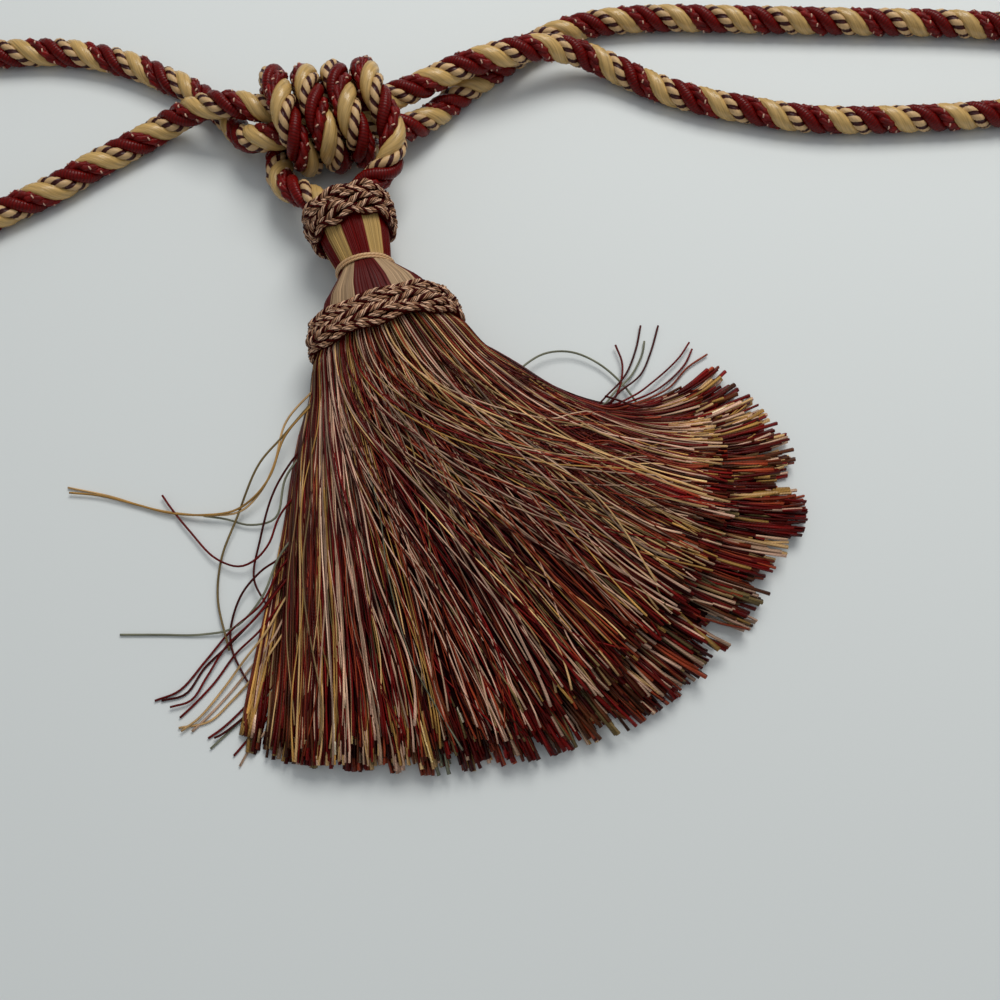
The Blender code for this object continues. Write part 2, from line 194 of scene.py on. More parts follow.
@dataclass
class YarnMesh:
    """Tubes kept as arrays until they are joined into one mesh."""

    points: list[Array] = field(default_factory=list)
    dyes: list[Array] = field(default_factory=list)
    quads: list[tuple[Array, Array, int]] = field(default_factory=list)
    caps: list[tuple[Array, Array, int]] = field(default_factory=list)
    count: int = 0

    def add_tubes(
        self, paths: Array, radii: Array | float, sides: int, dye: Array | Colour, finish: int = 0,
        normals: Array | None = None, across: Array | float = 1.0,
    ) -> None:  # fmt: skip
        """Adds tubes that have the same number of rings.

        Args:
            paths: Tubes by rings by x, y and z, in millimetres.
            radii: One radius, or one for each tube, ring and side as far as given.
            sides: The number of sides.
            dye: One colour, or one for each tube, or for each tube and ring. In the fringe it also carries
                painted light and shade.
            finish: The place of the tube's material in the piece.
            normals: Where side 0 faces, or None to carry a frame along.
            across: The section's width over its height.
        """
        if normals is None:
            normals, binormals = carried_normals(paths)
        else:
            tangents = unit(np.gradient(paths, axis=1))
            normals = unit(normals - dot(normals, tangents) * tangents)
            binormals = np.cross(tangents, normals)
        radius = np.asarray(radii, float)
        radius = radius.reshape(radius.shape + (1,) * (3 - radius.ndim))
        radius = np.broadcast_to(radius, (*paths.shape[:2], sides))
        angle = math.tau * np.arange(sides) / sides
        high = (radius * np.cos(angle))[..., None] * normals[:, :, None]
        wide = (radius * np.sin(angle) * across)[..., None] * binormals[:, :, None]
        colour = np.asarray(dye, float)
        while colour.ndim < 3:
            colour = colour[None] if colour.ndim == 1 else colour[:, None]
        u = np.arange(sides + 1) / sides
        self.add_rings(paths[:, :, None] + high + wide, colour[:, :, None], u, length_along(paths), finish)

    def add_rings(self, points: Array, dye: Array, u: Array, v: Array, finish: int = 0) -> None:
        """Joins rings of points into tubes with closed ends.

        Args:
            points: Tubes by rings by sides by x, y and z, in millimetres.
            dye: Colours that spread over the points.
            u: Each side's place round the tube, and the place where it closes.
            v: Each ring's place along its tube.
            finish: The place of the tubes' material in the piece.
        """
        tubes, rings, sides = points.shape[:3]
        self.points.append(points.reshape(-1, 3))
        self.dyes.append(np.broadcast_to(dye, points.shape).reshape(-1, 3))
        start = self.count + np.arange(tubes * rings).reshape(tubes, rings) * sides
        side = np.arange(sides)
        a = start[:, :-1, None] + side
        b = start[:, :-1, None] + (side + 1) % sides
        quads = np.stack([a, b, b + sides, a + sides], axis=-1)
        quad_u = np.stack([u[:-1], u[1:], u[1:], u[:-1]], axis=-1)
        quad_v = np.stack([v[:, :-1], v[:, :-1], v[:, 1:], v[:, 1:]], axis=-1)[:, :, None]
        uv = np.stack(np.broadcast_arrays(quad_u, quad_v), axis=-1)
        self.quads.append((quads.reshape(-1, 4), uv.reshape(-1, 4, 2), finish))
        for ring, order in ((0, -1), (rings - 1, 1)):
            cap = (start[:, ring, None] + side)[:, ::order]
            uv = np.broadcast_arrays(u[:-1][::order], v[:, ring, None])
            self.caps.append((cap, np.stack(uv, axis=-1), finish))
        self.count += tubes * rings * sides

    def build(self, name: str, finishes: tuple["YarnFinish", ...], slot: str, *nodes: str) -> Object:
        """Joins the tubes into one object and dresses it in place of the part's plain solids.

        Args:
            name: The piece's name.
            finishes: Its finishes, in the order that finish counts them.
            slot: The record's material slot; not used.
            nodes: The nodes that it stands for.

        Returns:
            The object, linked to the scene.
        """
        groups = self.quads + self.caps
        points = np.vstack(self.points) * MM
        corners = np.concatenate([group[0].ravel() for group in groups])
        sizes = np.concatenate([np.full(len(group[0]), group[0].shape[1]) for group in groups])
        places = np.concatenate([np.full(len(group[0]), group[2]) for group in groups])
        smooth = np.arange(len(sizes)) < sum(len(group[0]) for group in self.quads)
        uv = np.concatenate([group[1].reshape(-1, 2) for group in groups])
        mesh = bpy.data.meshes.new(name)
        mesh.vertices.add(len(points))
        mesh.vertices.foreach_set("co", points.astype(np.float32).ravel())
        mesh.loops.add(len(corners))
        mesh.loops.foreach_set("vertex_index", corners.astype(np.int32))
        mesh.polygons.add(len(sizes))
        starts = np.concatenate([[0], np.cumsum(sizes)[:-1]]).astype(np.int32)
        mesh.polygons.foreach_set("loop_start", starts)
        mesh.polygons.foreach_set("material_index", places.astype(np.int32))
        mesh.polygons.foreach_set("use_smooth", smooth)
        mesh.update(calc_edges=True)
        mesh.uv_layers.new(name=LAY_MAP).data.foreach_set("uv", uv.astype(np.float32).ravel())
        # The dye map holds each yarn's dye; in the fringe it also holds painted light and shade.
        dye = mesh.color_attributes.new(name=DYE_AND_PAINTED_LIGHT_MAP, type="FLOAT_COLOR", domain="POINT")
        colours = np.hstack([np.vstack(self.dyes), np.ones((self.count, 1))])
        dye.data.foreach_set("color", colours.astype(np.float32).ravel())
        for finish in finishes:
            mesh.materials.append(finish.material())
        made = bpy.data.objects.new(name, mesh)
        bpy.context.scene.collection.objects.link(made)
        mesh.calc_loop_triangles()
        LOG.info("%s: %d triangles", name, len(mesh.loop_triangles))
        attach(made, BODY)
        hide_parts(*nodes)
        return made


# ---- Shader groups and finishes ----


class Graph:
    """A small helper that adds nodes to a tree and joins them."""

    def __init__(self, tree: Tree) -> None:
        """Keeps the tree."""
        self.tree = tree

    def fill(self, node: bpy.types.Node, given: dict) -> bpy.types.Node:
        """Gives the node's inputs numbers, or joins outputs to them."""
        for key, value in given.items():
            if isinstance(value, Socket):
                self.tree.links.new(value, node.inputs[key])
            else:
                node.inputs[key].default_value = value
        return node

    def node(self, kind: str, given: dict, **settings: object) -> bpy.types.Node:
        """A new node with these inputs and settings."""
        made = self.tree.nodes.new(kind)
        for key, value in settings.items():
            setattr(made, key, value)
        return self.fill(made, given)

    def math(self, operation: str, *values: object) -> Socket:
        """A Math node's result for these inputs."""
        return self.node("ShaderNodeMath", dict(enumerate(values)), operation=operation).outputs[0]

    def ramp(self, value: Socket, low: float, high: float) -> Socket:
        """A smooth rise from 0 to 1 as the value goes from low to high."""
        given = {"Value": value, "From Min": low, "From Max": high}
        return self.node("ShaderNodeMapRange", given, interpolation_type="SMOOTHSTEP").outputs["Result"]

    def group(self, name: str, given: dict) -> bpy.types.bpy_prop_collection:
        """The outputs of a shared group with these inputs."""
        return self.node("ShaderNodeGroup", given, node_tree=GROUPS[name]).outputs


class GroupGraph(Graph):
    """A shader node group that is being built."""

    def __init__(self, name: str, *inputs: str) -> None:
        """Starts the group with these inputs."""
        super().__init__(bpy.data.node_groups.new(name, "ShaderNodeTree"))
        for label in inputs:
            self.add_socket(label, "INPUT")
        self.given = self.node("NodeGroupInput", {}).outputs

    def add_socket(self, label: str, side: str) -> None:
        """Adds an input or an output: a colour by these names, and a number by any other."""
        kind = "NodeSocketColor" if label in ("Dye", "Color") else "NodeSocketFloat"
        self.tree.interface.new_socket(name=label, in_out=side, socket_type=kind)

    def put_out(self, **results: Socket) -> Tree:
        """Puts out these results, and hands over the finished group."""
        for label in results:
            self.add_socket(label, "OUTPUT")
        self.node("NodeGroupOutput", results)
        return self.tree


def ply_twist_group() -> Tree:
    """Turns that plies or a wrapped thread make round a yarn.

    Returns:
        A group that puts out Groove, 1 in the grooves and 0 on the crests, and Height.
    """
    graph = GroupGraph("ply_twist", "Around", "Along", "Plies", "Pitch")
    given = graph.given
    turns = graph.math("DIVIDE", given["Along"], given["Pitch"])
    phase = graph.math("MULTIPLY", graph.math("ADD", given["Around"], turns), given["Plies"])
    wave = graph.math("ABSOLUTE", graph.math("SINE", graph.math("MULTIPLY", phase, math.pi)))
    height = graph.math("POWER", wave, 0.6)
    return graph.put_out(Groove=graph.math("SUBTRACT", 1.0, height), Height=height)


def fibre_tone_group() -> Tree:
    """Uneven tone and fine ridges of the fibres in a yarn.

    Returns:
        A group that puts out Tone, about 0 to 1, and Height.
    """
    graph = GroupGraph("fibre_tone", "Around", "Along", "Fineness", "Stretch")
    given = graph.given
    turn = graph.math("MULTIPLY", given["Around"], math.tau)
    place = {"Z": graph.math("DIVIDE", given["Along"], given["Stretch"])}
    for axis, operation in (("X", "COSINE"), ("Y", "SINE")):
        place[axis] = graph.math("MULTIPLY", graph.math(operation, turn), given["Fineness"])
    place = graph.node("ShaderNodeCombineXYZ", place).outputs[0]
    cloud = {"Vector": place, "Scale": 1.0, "Detail": 3.0, "Roughness": 0.6}
    noise = graph.node("ShaderNodeTexNoise", cloud).outputs[0]
    return graph.put_out(Tone=graph.ramp(noise, 0.25, 0.75), Height=noise)


def dye_and_painted_groove_shade_group() -> Tree:
    """A yarn's dye, uneven along its fibres, with painted shade that darkens it in its grooves.

    Returns:
        A group that puts out Color.
    """
    graph = GroupGraph("dye_and_painted_groove_shade", "Dye", "Groove", "Painted Groove Shade", "Tone", "Tone Shade")
    given = graph.given
    # Painted shade: the colour is darkened in the grooves by Groove times the painted groove shade.
    dark = graph.math("SUBTRACT", 1.0, graph.math("MULTIPLY", given["Groove"], given["Painted Groove Shade"]))
    swing = graph.math("MULTIPLY", graph.math("SUBTRACT", given["Tone"], 0.5), given["Tone Shade"])
    gain = graph.math("MULTIPLY", dark, graph.math("ADD", swing, 1.0))
    scaled = graph.node("ShaderNodeVectorMath", {0: given["Dye"], "Scale": gain}, operation="SCALE")
    return graph.put_out(Color=scaled.outputs[0])


GROUPS = {group.name: group for group in (ply_twist_group(), fibre_tone_group(), dye_and_painted_groove_shade_group())}


@dataclass(frozen=True)
class YarnFinish:
    """How a yarn's surface looks. Lengths are in millimetres, and its dye comes with the mesh."""

    name: str
    roughness: float
    plies: float = 2.0
    pitch: float = 3.0
    groove_depth: float = 0.12
    # Painted shade: how much the colour is darkened in the grooves.
    painted_groove_shade: float = 0.5
    fineness: float = 3.0
    stretch: float = 2.0
    fibre_depth: float = 0.05
    fibre_shade: float = 0.3
    specular: float = 0.5
    thread: Colour | None = None
    thread_edge: Pair = (0.35, 0.6)

    def material(self) -> bpy.types.Material:
        """The finish as a material, made once."""
        made = bpy.data.materials.get(self.name)
        if made:
            return made
        made = bpy.data.materials.new(self.name)
        made.use_nodes = True
        graph = Graph(made.node_tree)
        lay = graph.node("ShaderNodeUVMap", {}, uv_map=LAY_MAP).outputs[0]
        split = graph.node("ShaderNodeSeparateXYZ", {0: lay}).outputs
        run = {"Around": split["X"], "Along": split["Y"]}
        twist = graph.group("ply_twist", {**run, "Plies": self.plies, "Pitch": self.pitch})
        tone = graph.group("fibre_tone", {**run, "Fineness": self.fineness, "Stretch": self.stretch})
        dye = graph.node("ShaderNodeAttribute", {}, attribute_name=DYE_AND_PAINTED_LIGHT_MAP).outputs["Color"]
        if self.thread:
            edge = graph.ramp(twist["Groove"], *self.thread_edge)
            mixed = {0: edge, 6: dye, 7: (*self.thread, 1.0)}
            dye = graph.node("ShaderNodeMix", mixed, data_type="RGBA").outputs[2]
        colour = {
            "Dye": dye, "Groove": twist["Groove"], "Painted Groove Shade": self.painted_groove_shade,
            "Tone": tone["Tone"], "Tone Shade": self.fibre_shade,
        }  # fmt: skip
        ply_height = graph.math("MULTIPLY", twist["Height"], self.groove_depth)
        fibre_height = graph.math("MULTIPLY", tone["Height"], self.fibre_depth)
        height = graph.math("ADD", ply_height, fibre_height)
        bump = graph.node("ShaderNodeBump", {"Strength": 1.0, "Distance": MM, "Height": height})
        surface = {
            "Roughness": self.roughness,
            "Specular IOR Level": self.specular,
            "Base Color": graph.group("dye_and_painted_groove_shade", colour)["Color"],
            "Normal": bump.outputs["Normal"],
        }
        graph.fill(made.node_tree.nodes["Principled BSDF"], surface)
        return made


# The sixth value of each finish is its painted groove shade, which darkens the colour in the grooves.
SPECKLED_PLY = YarnFinish("speckled_maroon_ply", 0.24, 7.0, 2.2, 0.06, 0.45, 3.0, 0.8, 0.06, 0.6, 0.18)
RIBBED_GIMP = YarnFinish("ribbed_maroon_gimp", 0.25, 1.0, 0.9, 0.10, 0.55, 2.0, 3.0, 0.03, 0.3, 0.14)
BEADED_CORD = YarnFinish(
    "beaded_gold_cord", 0.38, 2.0, 7.0, 0.3, 0.25, 5.0, 3.0, 0.06, 0.25, 0.25,
    (0.045, 0.003, 0.003), (0.22, 0.34),
)  # fmt: skip
SATIN_YARN = YarnFinish("satin_gold_yarn", 0.24, 6.0, 90.0, 0.10, 0.25, 6.0, 9.0, 0.16, 0.40, 0.5)
SPECK_YARN = YarnFinish("speck_yarn", 0.3, 2.0, 1.2, 0.03, 0.2, specular=0.4)
HEAD_FLOSS = YarnFinish("head_floss", 0.38, 90.0, 4000.0, 0.03, 0.30, 60.0, 30.0, 0.10, 0.7, 0.08)
TIE_PLY = YarnFinish("tie_ply", 0.40, 2.0, 2.6, 0.10, 0.4, specular=0.3)
BRAID_PLY = YarnFinish(
    "braid_ply", 0.45, 4.0, 10.0, 0.12, 0.80, 3.0, 1.5, 0.03, 0.5, 0.05,
    (0.040, 0.003, 0.002), (0.34, 0.50),
)  # fmt: skip
FRINGE_YARN = YarnFinish("fringe_yarn", 0.34, 2.0, 2.0, 0.05, 0.25, 0.8, 9.0, 0.03, 0.9, 0.13)
FRINGE_BED = YarnFinish("fringe_bed", 0.9, 160.0, 4000.0, 0.4, 0.7, 70.0, 20.0, 0.2, 0.6, 0.05)


# ---- Where things lie ----


def turned(start: Pair, heading: float, along: Array | float, side: Array | float) -> tuple:
    """The x and y of places given along and across a line with this start and heading."""
    c, s = math.cos(heading), math.sin(heading)
    return start[0] + along * c - side * s, start[1] + along * s + side * c


@dataclass(frozen=True)
class KnotSizes:
    """The hanger's turns round the two strands of the embrace."""

    centre: Pair = (-59.3, 137.6)
    heading: float = math.radians(8)
    height: float = 16.2
    strand: float = 5.3
    turn_radius: float = 10.8
    turns: int = 4
    pitch: float = 10.9
    lean: float = 1.5
    core: float = 14.0
    core_edge: float = 12.0
    drawn_in: Pair = (0.06, 0.07)

    def place(self, along: float, across: float, height: float) -> tuple[float, float, float]:
        """A point given along and across the knot's axis."""
        return (*turned(self.centre, self.heading, along, across), height)

    def tightened(self, line: Array) -> Array:
        """A centreline with its turns drawn closer together, as strands press into each other."""
        c, s = math.cos(self.heading), math.sin(self.heading)
        away = line[:, :2] - self.centre
        along, across = away @ (c, s), away @ (-s, c)
        held = 1 - smoothstep((np.maximum(abs(along), abs(across)) - self.core) / self.core_edge)
        along = along * (1 - self.drawn_in[0] * held)
        across = across * (1 - self.drawn_in[1] * held)
        return np.stack(self.place(along, across, line[:, 2]), axis=1)


@dataclass(frozen=True)
class HeadAxis:
    """The line of the tassel's head, with stations measured from its top."""

    start: Pair = (-53.5, 103.0)
    heading: float = math.radians(-72)
    height: float = 15.8
    fall: float = 0.018

    def place(self, station: Array | float, side: Array | float = 0.0, rise: Array | float = 0.0) -> Array:
        """Points given along the axis, to its side, and above it."""
        z = self.height - self.fall * station + rise
        places = np.broadcast_arrays(*turned(self.start, self.heading, station, side), z)
        return np.stack(places, axis=-1)


KNOT = KnotSizes()
HEAD_AXIS = HeadAxis()


@dataclass(frozen=True)
class RopeLay:
    """The ropes' centrelines, as they lie in the part."""

    table_height: float = 5.3
    floor: float = 5.15
    spacing: float = 10.9
    step: float = 2.5
    leg_stations: Pair = (3.6, 1.2)
    leg_side: float = 7.0
    rounds: int = 260
    last_rounds: int = 40
    stiffness: Pair = (0.25, 0.08)

    def on_table(self, *places: Pair) -> list:
        """Points of a rope that lies on the table."""
        return [(x, y, self.table_height) for x, y in places]

    def embrace_route(self) -> list:
        """The ring, from its join inside the knot round the right loop, the left loop and back."""
        k, strand, height = KNOT.place, KNOT.strand, KNOT.height
        right_back = self.on_table(
            (-19, 154.5), (-7, 165), (4, 174), (12, 181), (23, 187.5), (38, 192), (57, 194),
            (95, 193.5), (134, 192.5), (172, 191.5), (205, 189), (240, 186), (270, 183), (288, 177),
            (295, 167),
        )
        right_front = self.on_table(
            (288, 156), (264, 150), (232, 150.5), (200, 150.5), (165, 147.5), (128, 146), (110, 147),
            (92, 150.5), (74, 155), (56, 162),
        )
        left_front = self.on_table(
            (-131, 136), (-144, 127), (-157, 117), (-173, 107), (-195, 95), (-225, 84), (-255, 80),
            (-280, 87), (-293, 105), (-296, 127),
        )
        left_back = self.on_table(
            (-287, 147), (-265, 162), (-235, 171), (-210, 175), (-184, 177), (-166, 177.5),
            (-150, 175), (-135, 170), (-123, 164), (-114, 159.5), (-105, 152.5),
        )
        return [
            k(-1, -strand, height), k(9, -strand, height), k(17, -strand, 15),
            k(24, -4.5, 11), k(31, 0, 7.5),
            *right_back,
            *right_front,
            (39, 171, 6.5), (22, 173.5, 12), (7, 168.5, 16), (-9, 163, 15), (-21, 157, 14),
            k(28, 9, 15), k(20, 6.5, 16), k(10, strand, height),
            k(-3, strand, height), k(-15, strand, height), k(-24, 3.5, 17.2),
            (-92, 143, 16), (-101.5, 143.5, 15.6), (-110, 145, 12), (-120.5, 143, 6.5),
            *left_front,
            *left_back,
            (-97, 143.5, 6.5), k(-26, -5, 11), k(-18, -strand, 15.2),
            k(-9, -strand, height), k(-2.2, -strand, height),
        ]  # fmt: skip

    def hanger_turns(self, first_degree: int, last_degree: int) -> list:
        """Points of the turns, a flattened helix. 90 degrees is the front of a turn."""
        points = []
        start = -KNOT.pitch * (KNOT.turns - 1) / 2
        for degree in range(first_degree, last_degree + 1, 20):
            angle = math.radians(degree)
            lean = KNOT.lean if degree >= 340 else 0.4 * KNOT.lean
            along = start + KNOT.pitch * (degree - 450) / 360 - lean * math.cos(angle)
            flat = max(-1.0, min(1.0, 3 * math.cos(angle)))
            across = KNOT.strand * flat + KNOT.turn_radius * math.cos(angle)
            points.append(KNOT.place(along, across, KNOT.height + KNOT.turn_radius * math.sin(angle)))
        return points

    def hanger_route(self) -> list:
        """From the left of the head up, under the strands, round them, and down to its right."""
        k = KNOT.place
        legs = [(station, self.leg_side) for station in self.leg_stations]
        left = [tuple(HEAD_AXIS.place(station, -side)) for station, side in [*legs, (-3, 9.0)]]
        right = [tuple(HEAD_AXIS.place(station, side)) for station, side in [*legs, (-3.5, 8.6)]]
        return [
            *left,
            k(-13.5, -24, 14.5), k(-17.6, -16, 12),
            *self.hanger_turns(258, 90 + 360 * KNOT.turns + 8),
            k(19.6, -7, 25), k(21.2, -14, 20), k(20.8, -21, 17.2), k(17.5, -27.5, 16.5),
            *right[::-1],
        ]  # fmt: skip

    @staticmethod
    def may_settle(rope: Array) -> Array:
        """True for a rope's points near the knot and near the crossing on the right."""
        at_knot = np.linalg.norm(rope[:, :2] - (KNOT.centre[0], KNOT.centre[1] + 2.4), axis=1) < 62
        at_crossing = (abs(rope[:, 0] - 12) < 45) & (abs(rope[:, 1] - 175) < 35)
        free = at_knot | at_crossing
        free[:3] = free[-3:] = False
        return free

    @staticmethod
    def midway(rope: Array) -> Array:
        """From each inner point to halfway between its neighbours, and 0 at the ends."""
        away = np.zeros_like(rope)
        away[1:-1] = (rope[:-2] + rope[2:]) / 2 - rope[1:-1]
        return away

    def settled(self) -> list[Array]:
        """Pushes the ropes apart until they only touch.

        Returns:
            The centrelines of the embrace and of the hanger.
        """
        ropes = [smooth_through(route, self.step) for route in (self.embrace_route(), self.hanger_route())]
        points = np.vstack(ropes)
        ends = np.cumsum([len(rope) for rope in ropes])[:-1]
        owner = np.repeat(range(len(ropes)), [len(rope) for rope in ropes])
        order = np.concatenate([np.arange(len(rope)) for rope in ropes])
        free = np.concatenate([self.may_settle(rope) for rope in ropes])
        near = np.flatnonzero(np.abs(points[:, 0]) < 130)
        beside = abs(order[near][:, None] - order[near]) < math.ceil(1.75 * self.spacing / self.step)
        neighbours = beside & (owner[near][:, None] == owner[near])
        for turn in range(self.rounds):
            apart = points[near][:, None, :] - points[near][None, :, :]
            distance = np.sqrt((apart**2).sum(axis=2))
            distance[neighbours] = np.inf
            over = np.clip(self.spacing - distance, 0, None)
            push = (apart * (over / np.maximum(distance, 1e-6))[..., None]).sum(axis=1)
            push *= 0.9 / np.maximum((over > 0).sum(axis=1), 1)[:, None]
            moved = np.zeros_like(points)
            moved[near] = push
            points[free] += moved[free]
            stiffness = self.stiffness[turn >= self.rounds - self.last_rounds]
            for rope, loose in zip(np.split(points, ends), np.split(free, ends)):
                bend = self.midway(rope)
                rope[loose] += 0.02 * bend[loose] - stiffness * self.midway(bend)[loose]
            points[free, 2] = np.maximum(points[free, 2], self.floor)
        return np.split(points, ends)


# ---- Ropes ----


class StrandKind(Enum):
    """The four kinds of strand in the rope, each with its place among the rope's materials."""

    SPECKLED = 0
    RIBBED = 1
    BEADED = 2
    SATIN = 3


@dataclass
class TwistedRope:
    """A rope of four strands twisted together. Lengths are in millimetres."""

    name: str
    node: str
    line: Array
    order: tuple[StrandKind, ...]
    turn: float
    pitch: float = 22.0
    strand_offset: float = 3.05
    strand_radius: float = 1.95
    ring_step: float = 1.3
    bead: float = 3.5
    bead_step: float = 0.6
    plies: int = 3
    ply_radius: float = 1.22
    ply_offset: float = 0.82
    ply_pitch: float = 9.6
    ply_step: float = 0.85
    knob_spacing: float = 2.9
    speck_spacing: float = 3.7

    def strand_path(self, place: int, step: float) -> tuple[Array, Array]:
        """One strand's path round the rope.

        Args:
            place: Which of the four strands.
            step: The distance between its rings, along the rope.

        Returns:
            The path and the directions away from the rope's axis, each as one path.
        """
        line = evenly(self.line, step)[None]
        run = length_along(line)
        angle = math.tau * run / self.pitch + self.turn - place * math.tau / 4
        out = round_about(angle, *carried_normals(line))
        return line + self.strand_offset * out, out

    def add_speckled(self, mesh: YarnMesh, place: int) -> None:
        """A strand of knobbly maroon plies with pale specks."""
        path, out = self.strand_path(place, self.ply_step)
        tangents = unit(np.gradient(path, axis=1))
        side = np.cross(tangents, out)
        run = length_along(path)
        dice = np.random.default_rng(5)
        for ply in range(self.plies):
            angle = -math.tau * run / self.ply_pitch + ply * math.tau / self.plies
            away = round_about(angle, out, side)
            dye = np.array(ROPE_MAROON) * uneven(dice, run.shape + (1,), 0.25, 0.5, 1.6)
            knob = np.sin(math.tau * (run / self.knob_spacing + ply / self.plies))
            lump = self.ply_radius * (1 + 0.22 * knob + 0.04 * dice.standard_normal(run.shape))
            mesh.add_tubes(path + self.ply_offset * away, lump, 5, dye, StrandKind.SPECKLED.value, away)
        specks = np.arange(self.speck_spacing, run[0, -1], self.speck_spacing)
        specks += dice.uniform(-0.5, 0.5, len(specks))
        at = np.clip(np.searchsorted(run[0], specks), 0, len(run[0]) - 1)
        centre, away, across, ahead = path[0, at], out[0, at], side[0, at], tangents[0, at]
        tilt = dice.uniform(-0.5, 0.5, (len(at), 1)) * across
        top = centre + (self.strand_radius + 0.02) * unit(away + tilt)
        lie = unit(ahead + 0.9 * across)
        half = 0.55
        steps = np.linspace(-half, half, 4)[None, :, None]
        bowed = -0.35 * (steps / half) ** 2 * away[:, None]
        mesh.add_tubes(top[:, None] + steps * lie[:, None] + bowed, 0.30, 5, PINK_BEIGE, len(StrandKind))

    def add_strand(self, mesh: YarnMesh, place: int, kind: StrandKind) -> None:
        """A strand that is one ribbed, beaded or satin tube."""
        step = self.bead_step if kind is StrandKind.BEADED else self.ring_step
        sides = 10
        path, out = self.strand_path(place, step)
        dice = np.random.default_rng(9 + kind.value)
        run = length_along(path)[..., None]
        radius = np.full(run.shape[:2] + (sides,), self.strand_radius)
        dye, squash = {
            StrandKind.RIBBED: (ROPE_MAROON, 1.1),
            StrandKind.BEADED: (BEAD, 0.95),
            StrandKind.SATIN: (SATIN_GOLD, 1.36),
        }[kind]
        if kind is StrandKind.BEADED:
            phase = 2 * (np.arange(sides) / sides + run / (2 * self.bead))
            radius = radius * (0.76 + 0.27 * np.abs(np.sin(math.pi * phase)) ** 0.7)
        tone = 1 + 0.06 * np.cumsum(dice.standard_normal(run.shape), axis=1) / 8
        colours = np.array(dye) * np.clip(tone, 0.8, 1.2)
        mesh.add_tubes(path, radius, sides, colours, kind.value, out, squash)

    def build(self) -> Object:
        """Twists the rope and dresses it in place of its tube."""
        mesh = YarnMesh()
        for place, kind in enumerate(self.order):
            if kind is StrandKind.SPECKLED:
                self.add_speckled(mesh, place)
            else:
                self.add_strand(mesh, place, kind)
        finishes = (SPECKLED_PLY, RIBBED_GIMP, BEADED_CORD, SATIN_YARN, SPECK_YARN)
        return mesh.build(self.name, finishes, "rope", self.node)


# ---- Head ----


@dataclass(frozen=True)
class HeadSection:
    """An oval across the head."""

    station: float
    half_width: float
    half_height: float


@dataclass
class TasselHead:
    """The mould with floss laid along it in stripes, and the yarn tied round its waist."""

    sections: tuple[HeadSection, ...] = (
        HeadSection(4.2, 10.6, 10.4),
        HeadSection(5.2, 11.4, 11.2),
        HeadSection(14.0, 11.6, 11.4),
        HeadSection(18.5, 11.0, 10.6),
        HeadSection(25.8, 9.3, 9.1),
        HeadSection(28.0, 8.7, 8.6),
        HeadSection(29.8, 9.1, 8.8),
        HeadSection(33.2, 12.0, 10.0),
        HeadSection(37.8, 16.4, 10.2),
        HeadSection(43.0, 19.0, 9.8),
        HeadSection(50.0, 20.4, 10.2),
    )
    waist: float = 28.0
    stripes: int = 10
    stripe_turn: float = 90.0
    columns: int = 420
    rows: int = 40
    ridge: float = 0.22

    def floss(self) -> tuple[Array, Array]:
        """The floss-covered surface and its dye, as rows by columns."""
        dice = np.random.default_rng(21)
        at = np.linspace(self.sections[0].station, self.sections[-1].station, self.rows)
        known = [section.station for section in self.sections]
        wide = np.interp(at, known, [section.half_width for section in self.sections])
        high = np.interp(at, known, [section.half_height for section in self.sections])
        angle = math.tau * np.arange(self.columns) / self.columns
        groove = dice.standard_normal(self.columns)
        groove = (groove + 0.5 * np.roll(groove, 1)) * self.ridge * 0.5
        lift = np.clip(groove, -self.ridge, self.ridge)[None]
        side = (wide[:, None] + lift) * np.cos(angle)
        rise = (high[:, None] + lift) * np.sin(angle)
        points = HEAD_AXIS.place(at[:, None], side, rise)
        wobble = 2.2 * dice.standard_normal(self.columns)
        turned = np.degrees(angle) - self.stripe_turn + wobble
        stripe = np.floor(turned / (360 / self.stripes) + 0.5).astype(int) % 2
        tone = 1 + 0.16 * dice.standard_normal(self.columns)
        above = np.where(stripe[:, None] == 0, np.array(ROPE_MAROON) * 0.7, np.array(SATIN_GOLD) * 0.85)
        below = np.where(stripe[:, None] == 0, (0.090, 0.009, 0.008), (0.40, 0.265, 0.155))
        share = smoothstep((at - self.waist + 1) / 4)[:, None, None]
        dye = (1 - share) * above[None] + share * below[None]
        return points, np.clip(dye * tone[None, :, None], 0, 1)

    def build(self) -> None:
        """Lays the floss over the mould."""
        points, dye = self.floss()
        mesh = YarnMesh()
        u = np.arange(self.columns + 1) / self.columns
        along = self.sections[-1].station - self.sections[0].station + 0.2
        mesh.add_rings(points[None], dye, u, np.linspace(0, along, self.rows)[None])
        mesh.build("head_floss", (HEAD_FLOSS,), "head_yarn", "head")

    def build_tie(self) -> None:
        """The single gold yarn tied round the waist."""
        angle = np.linspace(0, math.tau, 73)
        station = self.waist + 0.6 + np.cos(angle) + 0.3 * np.sin(angle)
        ring = HEAD_AXIS.place(station, 9.5 * np.cos(angle), 9.3 * np.sin(angle))
        ahead = np.array([math.cos(HEAD_AXIS.heading), math.sin(HEAD_AXIS.heading), 0])
        mesh = YarnMesh()
        for offset, radius in ((0.0, 0.6), (0.95, 0.4)):
            mesh.add_tubes((ring + ahead * offset)[None], radius, 8, TIE_GOLD)
        mesh.build("waist_tie", (TIE_PLY,), "tie_yarn", "neck_tie")


# ---- Ruffs ----


